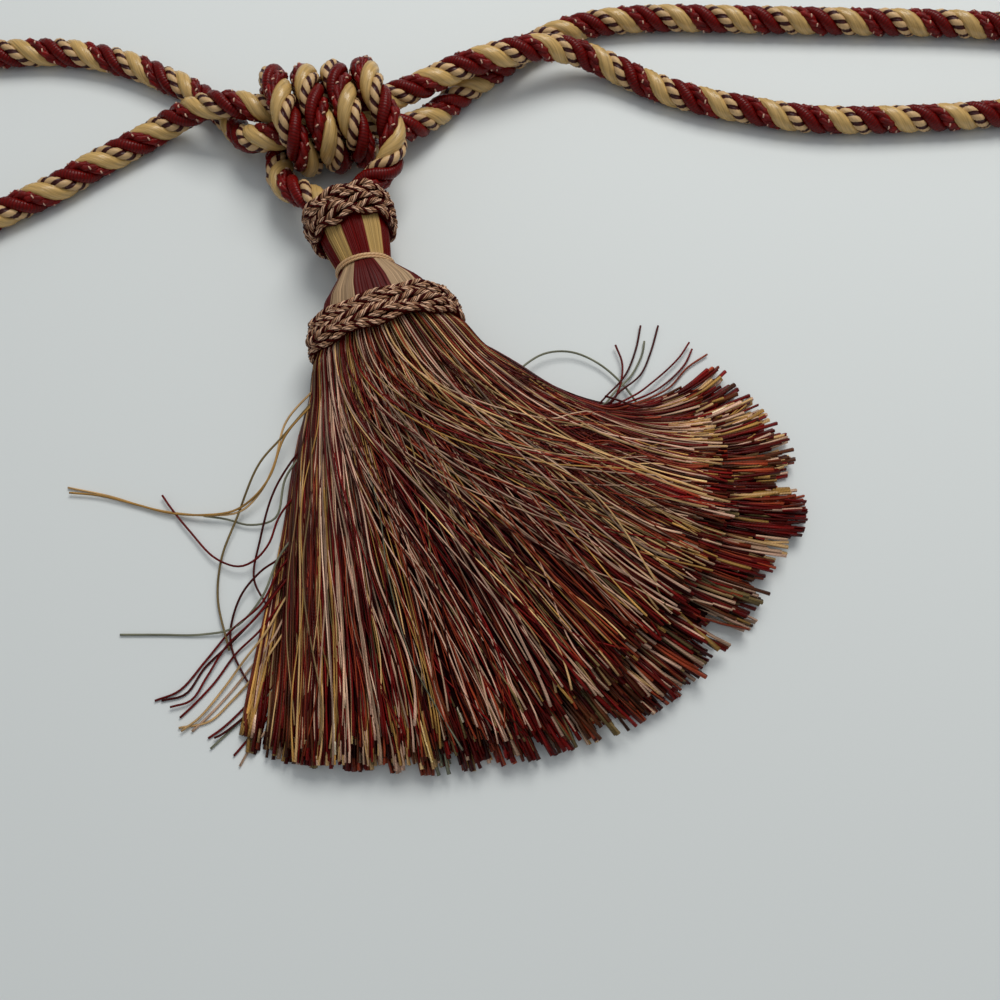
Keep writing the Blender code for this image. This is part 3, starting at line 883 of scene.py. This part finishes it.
@dataclass
class BraidedRuff:
    """A band of cords laid in rows round the head, each row twisted against the next."""

    name: str
    node: str
    station: float
    half_length: float
    half_width: float
    half_height: float
    flare: float
    rows: int
    seed: int
    ply_radius: float = 0.58
    ply_offset: float = 0.50
    ply_pitch: float = 5.0
    step: float = 0.42

    def ring(self, along: Array, out: Array, angle: Array) -> Array:
        """Points round the head at these places along its axis and distances out from the band."""
        side = (self.half_width + out) * np.cos(angle)
        rise = (self.half_height + out) * np.sin(angle)
        return HEAD_AXIS.place(self.station + along, side, rise)

    def row_line(self, row: int) -> Array:
        """The centreline of one row round the head, as one path."""
        share = (row + 0.5) / self.rows * 2 - 1
        angle = np.linspace(0, math.tau, 181) + 0.3 * row + math.radians(200)
        along = share * (self.half_length - 1.2) + 0.5 * np.sin(3 * angle + 2)
        along += 0.6 * np.sin(8 * angle + self.seed + 1.6 * row)
        out = self.flare * along + 1.3 * (1 - share**2) - 0.5 + 0.35 * np.sin(7 * angle + 2 * row)
        return evenly(self.ring(along, out, angle), self.step)[None]

    def build(self) -> None:
        """Twists the rows and dresses them in place of the lobed band."""
        dice = np.random.default_rng(self.seed)
        mesh = YarnMesh()
        axis = HEAD_AXIS.place(np.array([0.0, 1.0]))
        axis = unit(axis[1] - axis[0])
        for row in range(self.rows):
            line = self.row_line(row)
            ahead = unit(np.gradient(line, axis=1))
            out = unit(np.cross(ahead, axis))
            out *= np.sign(dot(line - line.mean(axis=1, keepdims=True), out).mean())
            side = np.cross(ahead, out)
            run = length_along(line)
            waver = 0.9 * np.sin(run / 11 + row) + 1.1 * np.sin(run / 4.3 + 2 * row)
            hand = 1 if row % 4 in (1, 2) else -1
            for ply, (dye, size) in enumerate(((RUFF_BEIGE, 1.0), (RUFF_TAN, 1.0), (DEEP_MAROON, 0.9))):
                turn = hand * math.tau * run / self.ply_pitch + ply * math.tau / 3 + 1.7 * row + waver
                away = round_about(turn, out, side)
                tone = 1 + 0.10 * np.sin(run / 2.7 + 3 * ply)[..., None]
                tone = tone + 0.10 * dice.standard_normal(run.shape + (1,))
                colour = np.array(dye) * np.clip(tone, 0.6, 1.4)
                mesh.add_tubes(line + self.ply_offset * away, self.ply_radius * size, 6, colour)
            mesh.add_tubes(line - self.ply_radius * 1.5 * out, self.ply_radius * 1.7, 6, DEEP_MAROON)
        mesh.build(self.name, (BRAID_PLY,), "braid", self.node)


# ---- Fringe ----


@dataclass(frozen=True)
class FanLine:
    """A line of the fan, from the ruff to the cut ends."""

    tip_x: float
    tip_y: float
    leave: float
    arrive: float
    leave_pull: float
    arrive_pull: float


@dataclass(frozen=True)
class Fan:
    """The shape that the fringe is spread in."""

    lines: tuple[FanLine, ...] = (
        FanLine(-65, -83, -122, -95, 0.20, 0.28),
        FanLine(-55, -86, -92, -94, 0.35, 0.30),
        FanLine(-38, -86, -87, -88, 0.35, 0.30),
        FanLine(-17, -87, -83, -78, 0.35, 0.30),
        FanLine(12, -82, -76, -62, 0.38, 0.32),
        FanLine(38, -73, -68, -46, 0.40, 0.34),
        FanLine(62, -56, -60, -30, 0.42, 0.36),
        FanLine(83, -33, -53, -14, 0.44, 0.38),
        FanLine(95, -7, -48, 2, 0.45, 0.40),
        FanLine(91, 19, -36, 18, 0.40, 0.46),
        FanLine(73, 41, -12, 38, 0.25, 0.60),
    )
    root_station: float = 50.6
    mouth_station: float = 57.4
    root_half: Pair = (20.4, 10.2)
    mouth_half: Pair = (25.0, 10.9)
    edge_angle: float = math.radians(8)
    edge_height: float = 5.0
    upper: Table = (
        (0.0, 26.0), (0.10, 26.5), (0.25, 26.0), (0.45, 24.0), (0.64, 20.5), (0.78, 17.5),
        (0.865, 15.0), (0.94, 10.5), (1.05, 7.0),
    )  # fmt: skip
    lower: Table = (
        (0.0, 22.0), (0.3, 20.0), (0.6, 14.5), (0.78, 11.0), (0.885, 9.0), (1.0, 6.2), (1.1, 4.5),
    )  # fmt: skip

    def oval_angle(self, across: Array) -> Array:
        """The angle on the collar's oval for a share across the fan."""
        return self.edge_angle + (math.pi - 2 * self.edge_angle) * across

    def column(self, across: Array, key: str) -> Array:
        """One of the lines' values between them, and straight on past the edges."""
        values = [getattr(line, key) for line in self.lines]
        at = across * (len(values) - 1)
        inside = np.interp(at, range(len(values)), values)
        before = np.minimum(at, 0) * (values[1] - values[0])
        after = np.maximum(at - len(values) + 1, 0) * (values[-1] - values[-2])
        return inside + before + after

    def place(self, across: Array, share: Array) -> Array:
        """Where the fan's lines have got to, as x and y."""
        angle = self.oval_angle(across)
        start = HEAD_AXIS.place(self.mouth_station, -self.mouth_half[0] * np.cos(angle))[..., :2]
        tip = np.stack([self.column(across, "tip_x"), self.column(across, "tip_y")], axis=-1)
        reach = np.linalg.norm(tip - start, axis=-1, keepdims=True)
        leave, arrive = (np.radians(self.column(across, key)) for key in ("leave", "arrive"))
        first = np.stack([np.cos(leave), np.sin(leave)], axis=-1) * reach
        last = np.stack([np.cos(arrive), np.sin(arrive)], axis=-1) * reach
        first = start + self.column(across, "leave_pull")[..., None] * first
        second = tip - self.column(across, "arrive_pull")[..., None] * last
        t, r = share[..., None], 1 - share[..., None]
        return r**3 * start + 3 * r * r * t * first + 3 * r * t * t * second + t**3 * tip

    def top(self, across: Array, share: Array, tier: tuple) -> Array:
        """How high a tier's top is."""
        crown = np.interp(share, *zip(*tier))
        low = math.sin(self.edge_angle)
        dome = np.clip((np.sin(self.oval_angle(across)) - low) / (1 - low), 0, None)
        dome = dome ** (1 - 0.5 * np.clip(share, 0, 1))
        return self.edge_height + np.maximum(crown - self.edge_height, 0) * dome

    def lay(self, across: Array, share: Array, level: Array, tier: tuple, radius: float) -> Array:
        """Lays yarns in the fan.

        Args:
            across: Each point's share across the fan.
            share: Its share along it, below 0 inside the ruff.
            level: Its level, from 0 on the table to 1 at the tier's top.
            tier: The heights of the tier's crown.
            radius: The yarn's radius.

        Returns:
            The points, shaped as across with x, y and z.
        """
        held = np.clip(share, 0, None)
        flat = self.place(across, held)
        top = self.top(across, held, tier)
        spread = radius + (top - 2 * radius) * level
        angle = self.oval_angle(across)
        inside = np.clip(-share, 0, 1) * 150
        station = self.mouth_station - inside
        narrow = np.clip(inside / (self.mouth_station - self.root_station), 0, 1)
        wide = self.mouth_half[0] + (self.root_half[0] - self.mouth_half[0]) * narrow
        high = self.mouth_half[1] + (self.root_half[1] - self.mouth_half[1]) * narrow
        rise = (high - radius) * np.sin(angle) * (2 * level - 1)
        collar = HEAD_AXIS.place(station, -wide * np.cos(angle), rise)
        blend = smoothstep(held / 0.10)
        points = np.empty(across.shape + (3,))
        points[..., :2] = np.where((share < 0)[..., None], collar[..., :2], flat)
        points[..., 2] = (1 - blend) * collar[..., 2] + blend * spread
        return points


FAN = Fan()


@dataclass(frozen=True)
class Palette:
    """The fringe's dyes and how much of each there is, on its left and on its right."""

    left: tuple[float, ...]
    right: tuple[float, ...]
    dyes: tuple[Colour, ...] = (
        MAROON, DEEP_MAROON, RUST, BROWN, PINK_BEIGE, BEIGE, GOLD, OLD_GOLD, OLIVE, GREY_GREEN,
    )  # fmt: skip

    def draw(self, across: Array, dice: np.random.Generator) -> Array:
        """A dye for each of these places across the fan."""
        left, right = (np.array(weights) / sum(weights) for weights in (self.left, self.right))
        weights = (1 - across)[:, None] * left + across[:, None] * right
        picked = (dice.random(len(across))[:, None] > np.cumsum(weights, axis=1)).sum(axis=1)
        return np.array(self.dyes)[np.clip(picked, 0, len(self.dyes) - 1)]


DARK_MIX = Palette(
    (0.26, 0.32, 0.10, 0.22, 0.03, 0.02, 0.01, 0.02, 0.02, 0.00),
    (0.32, 0.30, 0.16, 0.16, 0.02, 0.01, 0.01, 0.01, 0.01, 0.00),
)
BRIGHT_MIX = Palette(
    (0.30, 0.08, 0.10, 0.09, 0.17, 0.12, 0.06, 0.06, 0.02, 0.00),
    (0.27, 0.05, 0.20, 0.05, 0.14, 0.13, 0.11, 0.04, 0.01, 0.00),
)
HEM_MIX = Palette(
    (0.18, 0.05, 0.20, 0.08, 0.13, 0.13, 0.11, 0.09, 0.02, 0.01),
    (0.32, 0.22, 0.17, 0.14, 0.04, 0.04, 0.03, 0.02, 0.02, 0.00),
)
MIDDLE_MIX = Palette(
    (0.26, 0.18, 0.12, 0.16, 0.07, 0.06, 0.05, 0.05, 0.04, 0.01),
    (0.34, 0.22, 0.18, 0.12, 0.03, 0.04, 0.03, 0.02, 0.02, 0.00),
)
TUFT_MIX = Palette(
    (0.00, 0.00, 0.15, 0.00, 0.15, 0.20, 0.35, 0.15, 0.00, 0.00),
    (0.00, 0.00, 0.35, 0.00, 0.05, 0.20, 0.30, 0.10, 0.00, 0.00),
)


class Tier(Enum):
    """The fringe's two cut lengths, each with its crown's heights and its spread of lengths."""

    UPPER = (FAN.upper, 0.034)
    LOWER = (FAN.lower, 0.026)


@dataclass(frozen=True)
class YarnBatch:
    """Yarns of the fringe that are laid alike."""

    seed: int
    count: int
    levels: Pair
    tier: Tier = Tier.UPPER
    rings: int = 32
    sides: int = 4
    start: float = -0.05
    drift: float = 0.018
    wander: float = 0.006
    clumps: int = 64
    pull: float = 0.45
    radius: float = 0.45
    same_dye: float = 0.5
    roots: Pair = (0.0, 1.0)
    spill: float = 0.0
    sweep: float = 0.0
    turn: float = 0.9
    rise: float = 0.0
    gather: float = 0.0
    sway: float = 0.03
    mix: Palette = DARK_MIX

    def clump_dice(self, salt: int) -> np.random.Generator:
        """Dice for what each clump has in common."""
        return np.random.default_rng(self.seed + salt)


top_batch = partial(YarnBatch, sway=0.0, gather=0.9, mix=BRIGHT_MIX)
FRINGE_PIECES = {
    "fringe_under": (
        YarnBatch(31, 1500, (0.05, 1.0), Tier.LOWER, 15, 3, 0.30, clumps=90, radius=0.42, same_dye=0.6,
                  drift=0.03, mix=HEM_MIX),
        YarnBatch(32, 90, (0.05, 0.9), Tier.LOWER, 22, roots=(0.0, 0.08)),
        YarnBatch(38, 100, (0.05, 0.9), Tier.LOWER, 22, roots=(0.92, 1.0)),
        YarnBatch(39, 110, (0.02, 0.5), Tier.LOWER, 26, 4, 0.06, roots=(0.0, 0.10), spill=0.19, clumps=60,
                  wander=0.012, pull=0.85, radius=0.38, same_dye=0.6, mix=HEM_MIX),
    ),
    "fringe_middle": (
        YarnBatch(33, 420, (0.8, 1.08), Tier.LOWER, 18, 4, 0.22, clumps=80, drift=0.04, radius=0.40,
                  same_dye=0.6, mix=MIDDLE_MIX),
        YarnBatch(34, 700, (0.55, 0.80), rings=20, sides=3, clumps=70, drift=0.04, sweep=0.1,
                  same_dye=0.6, mix=MIDDLE_MIX),
    ),
    "fringe_upper": (
        YarnBatch(35, 450, (0.80, 0.86), rings=25, sides=3, drift=0.05, same_dye=0.2, sweep=0.1, turn=0.7,
                  sway=0.01, radius=0.31, pull=0.3),
        YarnBatch(40, 750, (0.875, 0.93), rings=25, sides=3, drift=0.04, same_dye=0.2, sweep=0.45,
                  turn=0.62, sway=0.01, radius=0.31, pull=0.4),
    ),
    "fringe_top": (
        top_batch(43, 16, (0.94, 0.958), roots=(0.7, 1.0), drift=0.03, pull=0.5, radius=0.27, same_dye=0.4,
                  turn=0.7, mix=MIDDLE_MIX),
        top_batch(42, 75, (0.94, 0.958), roots=(0.0, 0.30), drift=0.03, wander=0.01, pull=0.5, radius=0.23,
                  same_dye=0.2, turn=0.7),
        top_batch(41, 32, (0.962, 0.975), drift=0.06, wander=0.012, pull=0.3, radius=0.24, same_dye=0.15,
                  roots=(0.0, 0.85), turn=0.7),
        top_batch(45, 85, (0.962, 0.98), sides=3, drift=0.05, wander=0.012, pull=0.5, radius=0.25,
                  same_dye=0.4, sweep=0.3, roots=(0.18, 0.66), turn=0.65),
        top_batch(46, 56, (0.98, 0.985), rings=28, sides=3, drift=0.03, clumps=14, pull=0.8, radius=0.26,
                  same_dye=0.9, roots=(0.05, 0.95), turn=0.7, mix=TUFT_MIX),
        top_batch(36, 58, (0.985, 0.998), drift=0.055, wander=0.010, pull=0.4, radius=0.24, same_dye=0.15,
                  sweep=0.55, roots=(0.0, 0.84), turn=0.55, rise=0.07),
        top_batch(44, 90, (1.0, 1.012), sides=3, drift=0.05, wander=0.012, pull=0.5, radius=0.24,
                  same_dye=0.4, sweep=0.5, roots=(0.15, 0.95), turn=0.6, rise=0.07, mix=MIDDLE_MIX),
        top_batch(37, 46, (1.017, 1.03), rings=36, sides=5, drift=0.06, wander=0.014, pull=0.0,
                  radius=0.26, same_dye=0.1, roots=(0.0, 0.84), sweep=0.60, turn=0.55),
    ),
}  # fmt: skip


@dataclass
class FringeSkirt:
    """The cut fringe that hangs from the lower ruff and is swept to one side."""

    upper_reach: Table = (
        (0.0, 0.93), (0.25, 0.925), (0.42, 0.885), (0.55, 0.85), (0.75, 0.80), (0.9, 0.81), (1.0, 0.88),
    )  # fmt: skip
    lower_reach: Table = ((0.0, 0.945), (0.35, 0.95), (0.6, 0.965), (1.0, 0.98))
    thin_edge: float = 0.06
    gathers: int = 23
    clump_step: float = 0.036
    fray: float = 0.55
    bed_across: int = 90
    bed_along: int = 40
    bed_end: float = 0.92
    bed_depth: float = 1.9

    def reach(self, batch: YarnBatch, across: Array, clump: Array, dice: np.random.Generator) -> Array:
        """How far along the fan each yarn is cut."""
        step = batch.clump_dice(7).standard_normal(batch.clumps * 5 // 4)[clump]
        table = self.upper_reach if batch.tier is Tier.UPPER else self.lower_reach
        own = batch.tier.value[1] * np.minimum(dice.standard_normal(len(across)), 0.8)
        return read_off(table, across) + self.clump_step * np.clip(step, -1.7, 0.6) + own

    def add_batch(self, mesh: YarnMesh, batch: YarnBatch) -> None:
        """Lays one batch of yarns.

        Args:
            mesh: The piece that they go into.
            batch: How many there are, where they lie and how they look.
        """
        dice = np.random.default_rng(batch.seed)
        count, clumps = batch.count, batch.clumps
        root = (np.arange(count) + dice.random(count)) / count
        first, last = batch.roots
        root = first + (last - first) * (0.004 + 0.992 * root)
        waves = math.tau * self.gathers
        root += batch.gather * np.sin(waves * root) / waves
        swept = smoothstep((root - 0.10) / 0.28) * (1 - root) * uneven(dice, count, 0.3, 0, 1.3)
        drift = batch.drift * dice.standard_normal(count) + batch.sweep * swept
        end = np.clip(root + drift, -0.012, 1.012) - batch.spill * dice.random(count)
        kept = (end > self.thin_edge) | (dice.random(count) < 0.25) | (batch.spill > 0)
        root, end = root[kept], end[kept]
        count = len(root)
        clump = (end + 0.1 + 0.3 / clumps * dice.standard_normal(count)) * clumps
        clump = np.clip(clump, 0, None).astype(int)
        middle = (clump + 0.5) / clumps - 0.1
        reach = self.reach(batch, end, clump, dice)[:, None]
        q = np.linspace(0, 1, batch.rings)[None]
        share = batch.start + (reach - batch.start) * q
        fall = np.clip(share, 0, None)
        turn = batch.turn * dice.uniform(0.75, 1.35, (count, 1))
        across = root[:, None] + (end - root)[:, None] * smoothstep(fall / turn)
        across += (middle[:, None] - across) * (batch.pull * fall**3)
        swing = dice.uniform(0.7, 2.2, (count, 1))
        phase = dice.uniform(0, math.tau, (count, 1))
        size = batch.wander * dice.standard_normal((count, 1))
        across += size * np.sin(math.tau * swing * fall + phase) * np.minimum(fall * 2, 1)
        across = np.clip(across, -0.12, 1.02)
        low, high = batch.levels
        turns = (np.arange(count)[:, None] * GOLDEN_RATIO + 0.1 * dice.random((count, 1))) % 1
        level = low + (high - low) * turns
        level = level + batch.sway * np.sin(math.tau * 1.3 * swing * fall + 2 * phase)
        late = dice.uniform(0.02, 0.5, (count, 1))
        level = np.clip(level - batch.rise * (1 - smoothstep(fall / late)), 0, 1.03)
        paths = FAN.lay(across, share, level, batch.tier.value[0], batch.radius)
        own = batch.mix.draw(end, dice)
        spread = batch.mix.draw(np.clip(np.arange(clumps * 5 // 4) / clumps - 0.1, 0, 1), dice)
        shared = dice.random(count) < batch.same_dye
        dye = np.where(shared[:, None], spread[clump], own)
        dye = dye * uneven(dice, (count, 1), 0.36, 0.35, 1.8)
        radius = batch.radius * uneven(dice, (count, 1), 0.12, 0.75, 1.3)
        radius = radius * (1 + self.fray * smoothstep((q - 0.88) / 0.12))
        pale = batch.clump_dice(9).random(clumps * 5 // 4)[clump]
        pale = (pale < 0.09 + 0.26 * smoothstep((end - 0.80) / 0.14)) & (dice.random(count) < 0.7)
        tips = smoothstep((share - reach + 0.16) / 0.08)[..., None] * pale[:, None, None]
        tip_dyes = np.array((GOLD, BEIGE, PINK_BEIGE, OLD_GOLD))[dice.integers(0, 4, count)]
        dye = dye[:, None] * (1 - tips) + tip_dyes[:, None] * tips
        # Painted light: each yarn is made up to 28 percent brighter over its last stretch towards the cut
        # end.
        painted_light_and_shade = 1 + 0.28 * smoothstep((q - 0.72) / 0.28)
        if batch.tier is Tier.LOWER:
            edge = read_off(self.upper_reach, across)
            # Painted shade: the lower tier is darkened just past the upper tier's cut edge, where the upper
            # tier shades it.
            painted_light_and_shade = painted_light_and_shade * (1 - 0.6 * np.exp(-(((share - edge - 0.015) / 0.035) ** 2)))
            # Darker in a band round 0.64 across the lower tier.
            painted_light_and_shade = painted_light_and_shade * (1 - 0.35 * np.exp(-(((across - 0.64) / 0.15) ** 2)))
        mesh.add_tubes(paths, radius, batch.sides, np.clip(dye * painted_light_and_shade[..., None], 0, 1))

    def add_bed(self, mesh: YarnMesh) -> None:
        """The mass of yarn under the upper layers, near-black: partly dark yarn and partly painted shade
        for the fringe's inside.
        """
        across = np.linspace(0.0, 1.0, self.bed_across)
        share = np.concatenate([[-0.045], np.linspace(0.0, self.bed_end, self.bed_along - 1)])
        across, share = np.broadcast_arrays(across[:, None], share[None])
        edge = self.thin_edge * smoothstep(share / 0.7)
        across = edge + (1 - edge) * across
        step = smoothstep((share - read_off(self.upper_reach, across) + 0.06) / 0.05)
        held = np.clip(share, 0, 1)
        high, low = (FAN.top(across, held, tier) for tier in (FAN.upper, FAN.lower))
        level = np.clip(((1 - step) * high + step * low - self.bed_depth) / high, 0.06, 0.93)
        top = FAN.lay(across, share, level, FAN.upper, 0.5)
        bottom = FAN.lay(across, share, np.full(across.shape, 0.03), FAN.upper, 0.5)
        bottom[..., 2] = np.minimum(bottom[..., 2], top[..., 2] - 0.05)
        around = np.concatenate([top, bottom[::-1]])[::-1].swapaxes(0, 1)[None]
        sides = around.shape[2]
        u = np.linspace(2, 0, sides + 1) - 2 / sides
        # The bed's near-black colour is partly painted shade.
        mesh.add_rings(around, np.array(BED_DYE_AND_SHADE), u, np.arange(self.bed_along)[None] * 4.0, 1)

    def build(self) -> None:
        """Lays the fringe's pieces in place of the comb."""
        for name, batches in FRINGE_PIECES.items():
            mesh = YarnMesh()
            for batch in batches:
                self.add_batch(mesh, batch)
            if name == "fringe_under":
                self.add_bed(mesh)
            mesh.build(name, (FRINGE_YARN, FRINGE_BED), "fringe", "skirt_fringe")


@dataclass(frozen=True)
class Stray:
    """A yarn that has strayed from the fringe: where it runs, its dye and how high it starts."""

    places: Table
    dye: Colour
    start: float = 6.0
    end: float = 0.6


@dataclass
class StrayYarns:
    """Single yarns that lie outside the fringe, on the table or on each other."""

    name: str
    nodes: tuple[str, ...]
    strays: tuple[Stray, ...]
    inward: Pair
    radius: float = 0.36

    def build(self) -> None:
        """Lays the strays in place of their tubes."""
        mesh = YarnMesh()
        for stray in self.strays:
            first = np.array(stray.places[0]) + self.inward
            flat = smooth_through([(x, y, 0.0) for x, y in (first, *stray.places)], 1.6)
            share = np.linspace(0, 1, len(flat))
            flat[:, 2] = stray.end + (stray.start - stray.end) * (1 - smoothstep(share * 1.3))
            mesh.add_tubes(flat[None], self.radius, 6, stray.dye)
        mesh.build(self.name, (FRINGE_YARN,), "fringe", *self.nodes)


LEFT_NODES = ("loose_yarn_1", "loose_yarn_2", "loose_yarn_3")
RIGHT_NODES = ("loose_yarn_4", "loose_yarn_5", "loose_yarn_6")
LEFT_STRAYS = (
    Stray(((-69, 24), (-72, 10), (-76, 1), (-82, -5), (-91, -6), (-102, -5), (-112, -3), (-125, 1),
           (-139, 4)), GOLD, 8),
    Stray(((-69, 19), (-73, 6), (-78, -1), (-84, -5), (-94, -6), (-105, -5), (-116, -2), (-128, 1),
           (-138, 2)), OLD_GOLD, 8, 1.3),
    Stray(((-69, -7), (-72, -16), (-76, -21), (-81, -23), (-89, -20), (-98, -11), (-105, -3),
           (-108, 1)), MAROON, 6, 1.6),
    Stray(((-68, -20), (-73, -33), (-81, -42), (-91, -44), (-104, -44), (-116, -44)), GREY_GREEN),
    Stray(((-68, 6), (-71, -7), (-79, -9), (-87, -7), (-94, -6)), GREY_GREEN, 7, 1.5),
    Stray(((-67, 10), (-72, 0), (-75, -14), (-76, -27), (-71, -36)), DEEP_MAROON, 7, 3),
    Stray(((-69, 20), (-77, 10), (-83, -7), (-87, -20), (-87, -33), (-82, -49)), OLIVE, 8, 1.4),
    Stray(((-67, -20), (-74, -25), (-80, -33), (-82, -46), (-76, -58), (-71, -64)), DEEP_MAROON, 6, 1),
    Stray(((-68, -25), (-73, -35), (-82, -43), (-89, -52), (-96, -61), (-103, -64)), MAROON),
    Stray(((-67, -28), (-73, -37), (-81, -46), (-89, -54), (-94, -62), (-101, -64)), DEEP_MAROON, 5),
    Stray(((-67, -30), (-74, -39), (-83, -48), (-88, -57), (-92, -64), (-98, -66)), MAROON, 6, 1.3),
    Stray(((-65, -32), (-73, -43), (-80, -50), (-86, -59), (-92, -66), (-95, -69)), MAROON, 5),
    Stray(((-65, -33), (-71, -44), (-77, -52), (-83, -61), (-89, -69), (-94, -73)), GOLD, 6, 1.2),
    Stray(((-64, -36), (-69, -46), (-75, -54), (-81, -62), (-87, -69), (-91, -73)), BEIGE, 5),
    Stray(((-63, -40), (-68, -48), (-74, -57), (-80, -64), (-86, -70), (-95, -72)), GOLD, 5),
    Stray(((-61, -46), (-66, -53), (-72, -61), (-77, -67), (-82, -72), (-86, -75)), MAROON, 5),
    Stray(((-61, -48), (-65, -56), (-71, -64), (-77, -70), (-82, -74), (-84, -75)), DEEP_MAROON, 5, 1.4),
    Stray(((-62, -53), (-68, -61), (-74, -67), (-80, -73), (-85, -78)), GREY_GREEN, 5),
    Stray(((-59, -53), (-64, -61), (-69, -69), (-74, -75), (-78, -80)), MAROON, 5),
    Stray(((-60, -61), (-65, -68), (-70, -74), (-74, -79), (-76, -83)), BEIGE, 4),
)  # fmt: skip

RIGHT_STRAYS = (
    Stray(((0, 36), (7, 45), (15, 51), (24, 52), (33, 48), (41, 40), (46, 32)), GREY_GREEN, 6, 2),
    Stray(((33, 29), (37, 33), (40, 40), (41, 48), (39, 55)), MAROON, 8, 2),
    Stray(((30, 30), (36, 36), (42, 44), (46, 54), (48, 63)), DEEP_MAROON, 8, 1),
    Stray(((33, 30), (40, 37), (47, 44), (51, 53), (54, 63)), DEEP_MAROON, 8, 1),
    Stray(((34, 30), (44, 35), (51, 41), (60, 50), (64, 56)), MAROON, 8, 2),
    Stray(((35, 30), (45, 34), (53, 39), (62, 48), (65, 54)), MAROON, 8, 1),
    Stray(((36, 29), (46, 33), (56, 39), (63, 47), (70, 52)), RUST, 8, 1),
    Stray(((33, 31), (38, 37), (44, 44), (48, 52), (49, 57)), GREY_GREEN, 7, 1),
    Stray(((46, 30), (55, 33), (64, 37), (70, 41), (73, 42)), DEEP_MAROON, 8, 3),
)


# ---- Studio ----


@dataclass
class Studio:
    """A plain pale floor, soft light and the camera."""

    camera_place: tuple[float, float, float] = (0.0, -0.1098, 0.3016)
    lens: float = 36.0
    floor_half: float = 3.0
    world_strength: float = 0.30

    def add_floor(self) -> None:
        """The pale table top."""
        mesh = bpy.data.meshes.new("table_top")
        half = self.floor_half
        corners = [(-half, -half, 0), (half, -half, 0), (half, half, 0), (-half, half, 0)]
        mesh.from_pydata(corners, [], [(0, 1, 2, 3)])
        floor = bpy.data.objects.new("table_top", mesh)
        bpy.context.scene.collection.objects.link(floor)
        material = bpy.data.materials.new("pale_table")
        material.use_nodes = True
        look = {"Base Color": (0.70, 0.73, 0.73, 1), "Roughness": 0.75, "Specular IOR Level": 0.15}
        Graph(material.node_tree).fill(material.node_tree.nodes["Principled BSDF"], look)
        mesh.materials.append(material)

    def add_aimed(self, name: str, data: bpy.types.ID, place: tuple, aim: tuple) -> Object:
        """A light or camera here that points there."""
        made = bpy.data.objects.new(name, data)
        made.location = place
        made.rotation_euler = (Vector(aim) - Vector(place)).to_track_quat("-Z", "Y").to_euler()
        bpy.context.scene.collection.objects.link(made)
        return made

    def add_area(self, name: str, place: tuple, aim: tuple, size: float, power: float, tint: tuple) -> None:
        """A square soft light.

        Args:
            name: The light's name.
            place: Where it is.
            aim: Where it points.
            size: Its width.
            power: Its power in watts.
            tint: Its colour.
        """
        data = bpy.data.lights.new(name, "AREA")
        data.size, data.energy, data.color = size, power, tint
        self.add_aimed(name, data, place, aim)

    def build(self) -> None:
        """Sets the floor, the lights, the world and the camera."""
        self.add_floor()
        self.add_area("window_light", (0.20, 0.62, 0.85), (0.02, 0.05, 0.0), 0.55, 6.9, (1.0, 0.985, 0.945))
        self.add_area("ceiling_light", (0.1, -0.1, 1.5), (0.0, 0.0, 0.0), 1.6, 3.2, (0.95, 0.98, 1.0))
        world = bpy.data.worlds.new("soft_room")
        world.use_nodes = True
        sky = {"Color": (0.93, 0.97, 1.0, 1), "Strength": self.world_strength}
        Graph(world.node_tree).fill(world.node_tree.nodes["Background"], sky)
        bpy.context.scene.world = world
        data = bpy.data.cameras.new("camera")
        data.lens = self.lens
        data.sensor_width = 36.0
        data.clip_start = 0.01
        camera = self.add_aimed("camera", data, self.camera_place, (0.0, 0.0, 0.0))
        bpy.context.scene.camera = camera
        bpy.context.scene.view_settings.view_transform = "Standard"


# ---- Assembly ----


def main() -> None:
    """Builds every piece in order."""
    logging.basicConfig(level=logging.INFO, format="%(message)s")
    Studio().build()
    embrace_line, hanger_line = RopeLay().settled()
    speckled, ribbed, beaded, satin = StrandKind
    ring = (satin, beaded, ribbed, speckled)
    embrace = TwistedRope("embrace_twist", "embrace_rope", embrace_line, ring[::-1], 0.0)
    hanger_order = (speckled, satin, beaded, ribbed)
    hanger_line = KNOT.tightened(hanger_line)
    hanger = TwistedRope("hanger_twist", "hanger_rope", hanger_line, hanger_order, 0.6, pitch=24.6)
    made = embrace.build()
    hanger.build()
    head = TasselHead()
    head.build()
    head.build_tie()
    BraidedRuff("top_braid", "top_ruff", 9.8, 7.0, 14.0, 13.8, -0.10, 6, 41).build()
    BraidedRuff("skirt_braid", "skirt_ruff", 50.0, 7.6, 23.9, 12.9, 0.22, 7, 42).build()
    FringeSkirt().build()
    StrayYarns("stray_yarns_left", LEFT_NODES, LEFT_STRAYS, (9.0, 12.0)).build()
    StrayYarns("stray_yarns_right", RIGHT_NODES, RIGHT_STRAYS, (-12.0, 3.0)).build()


if __name__ == "__main__":
    main()
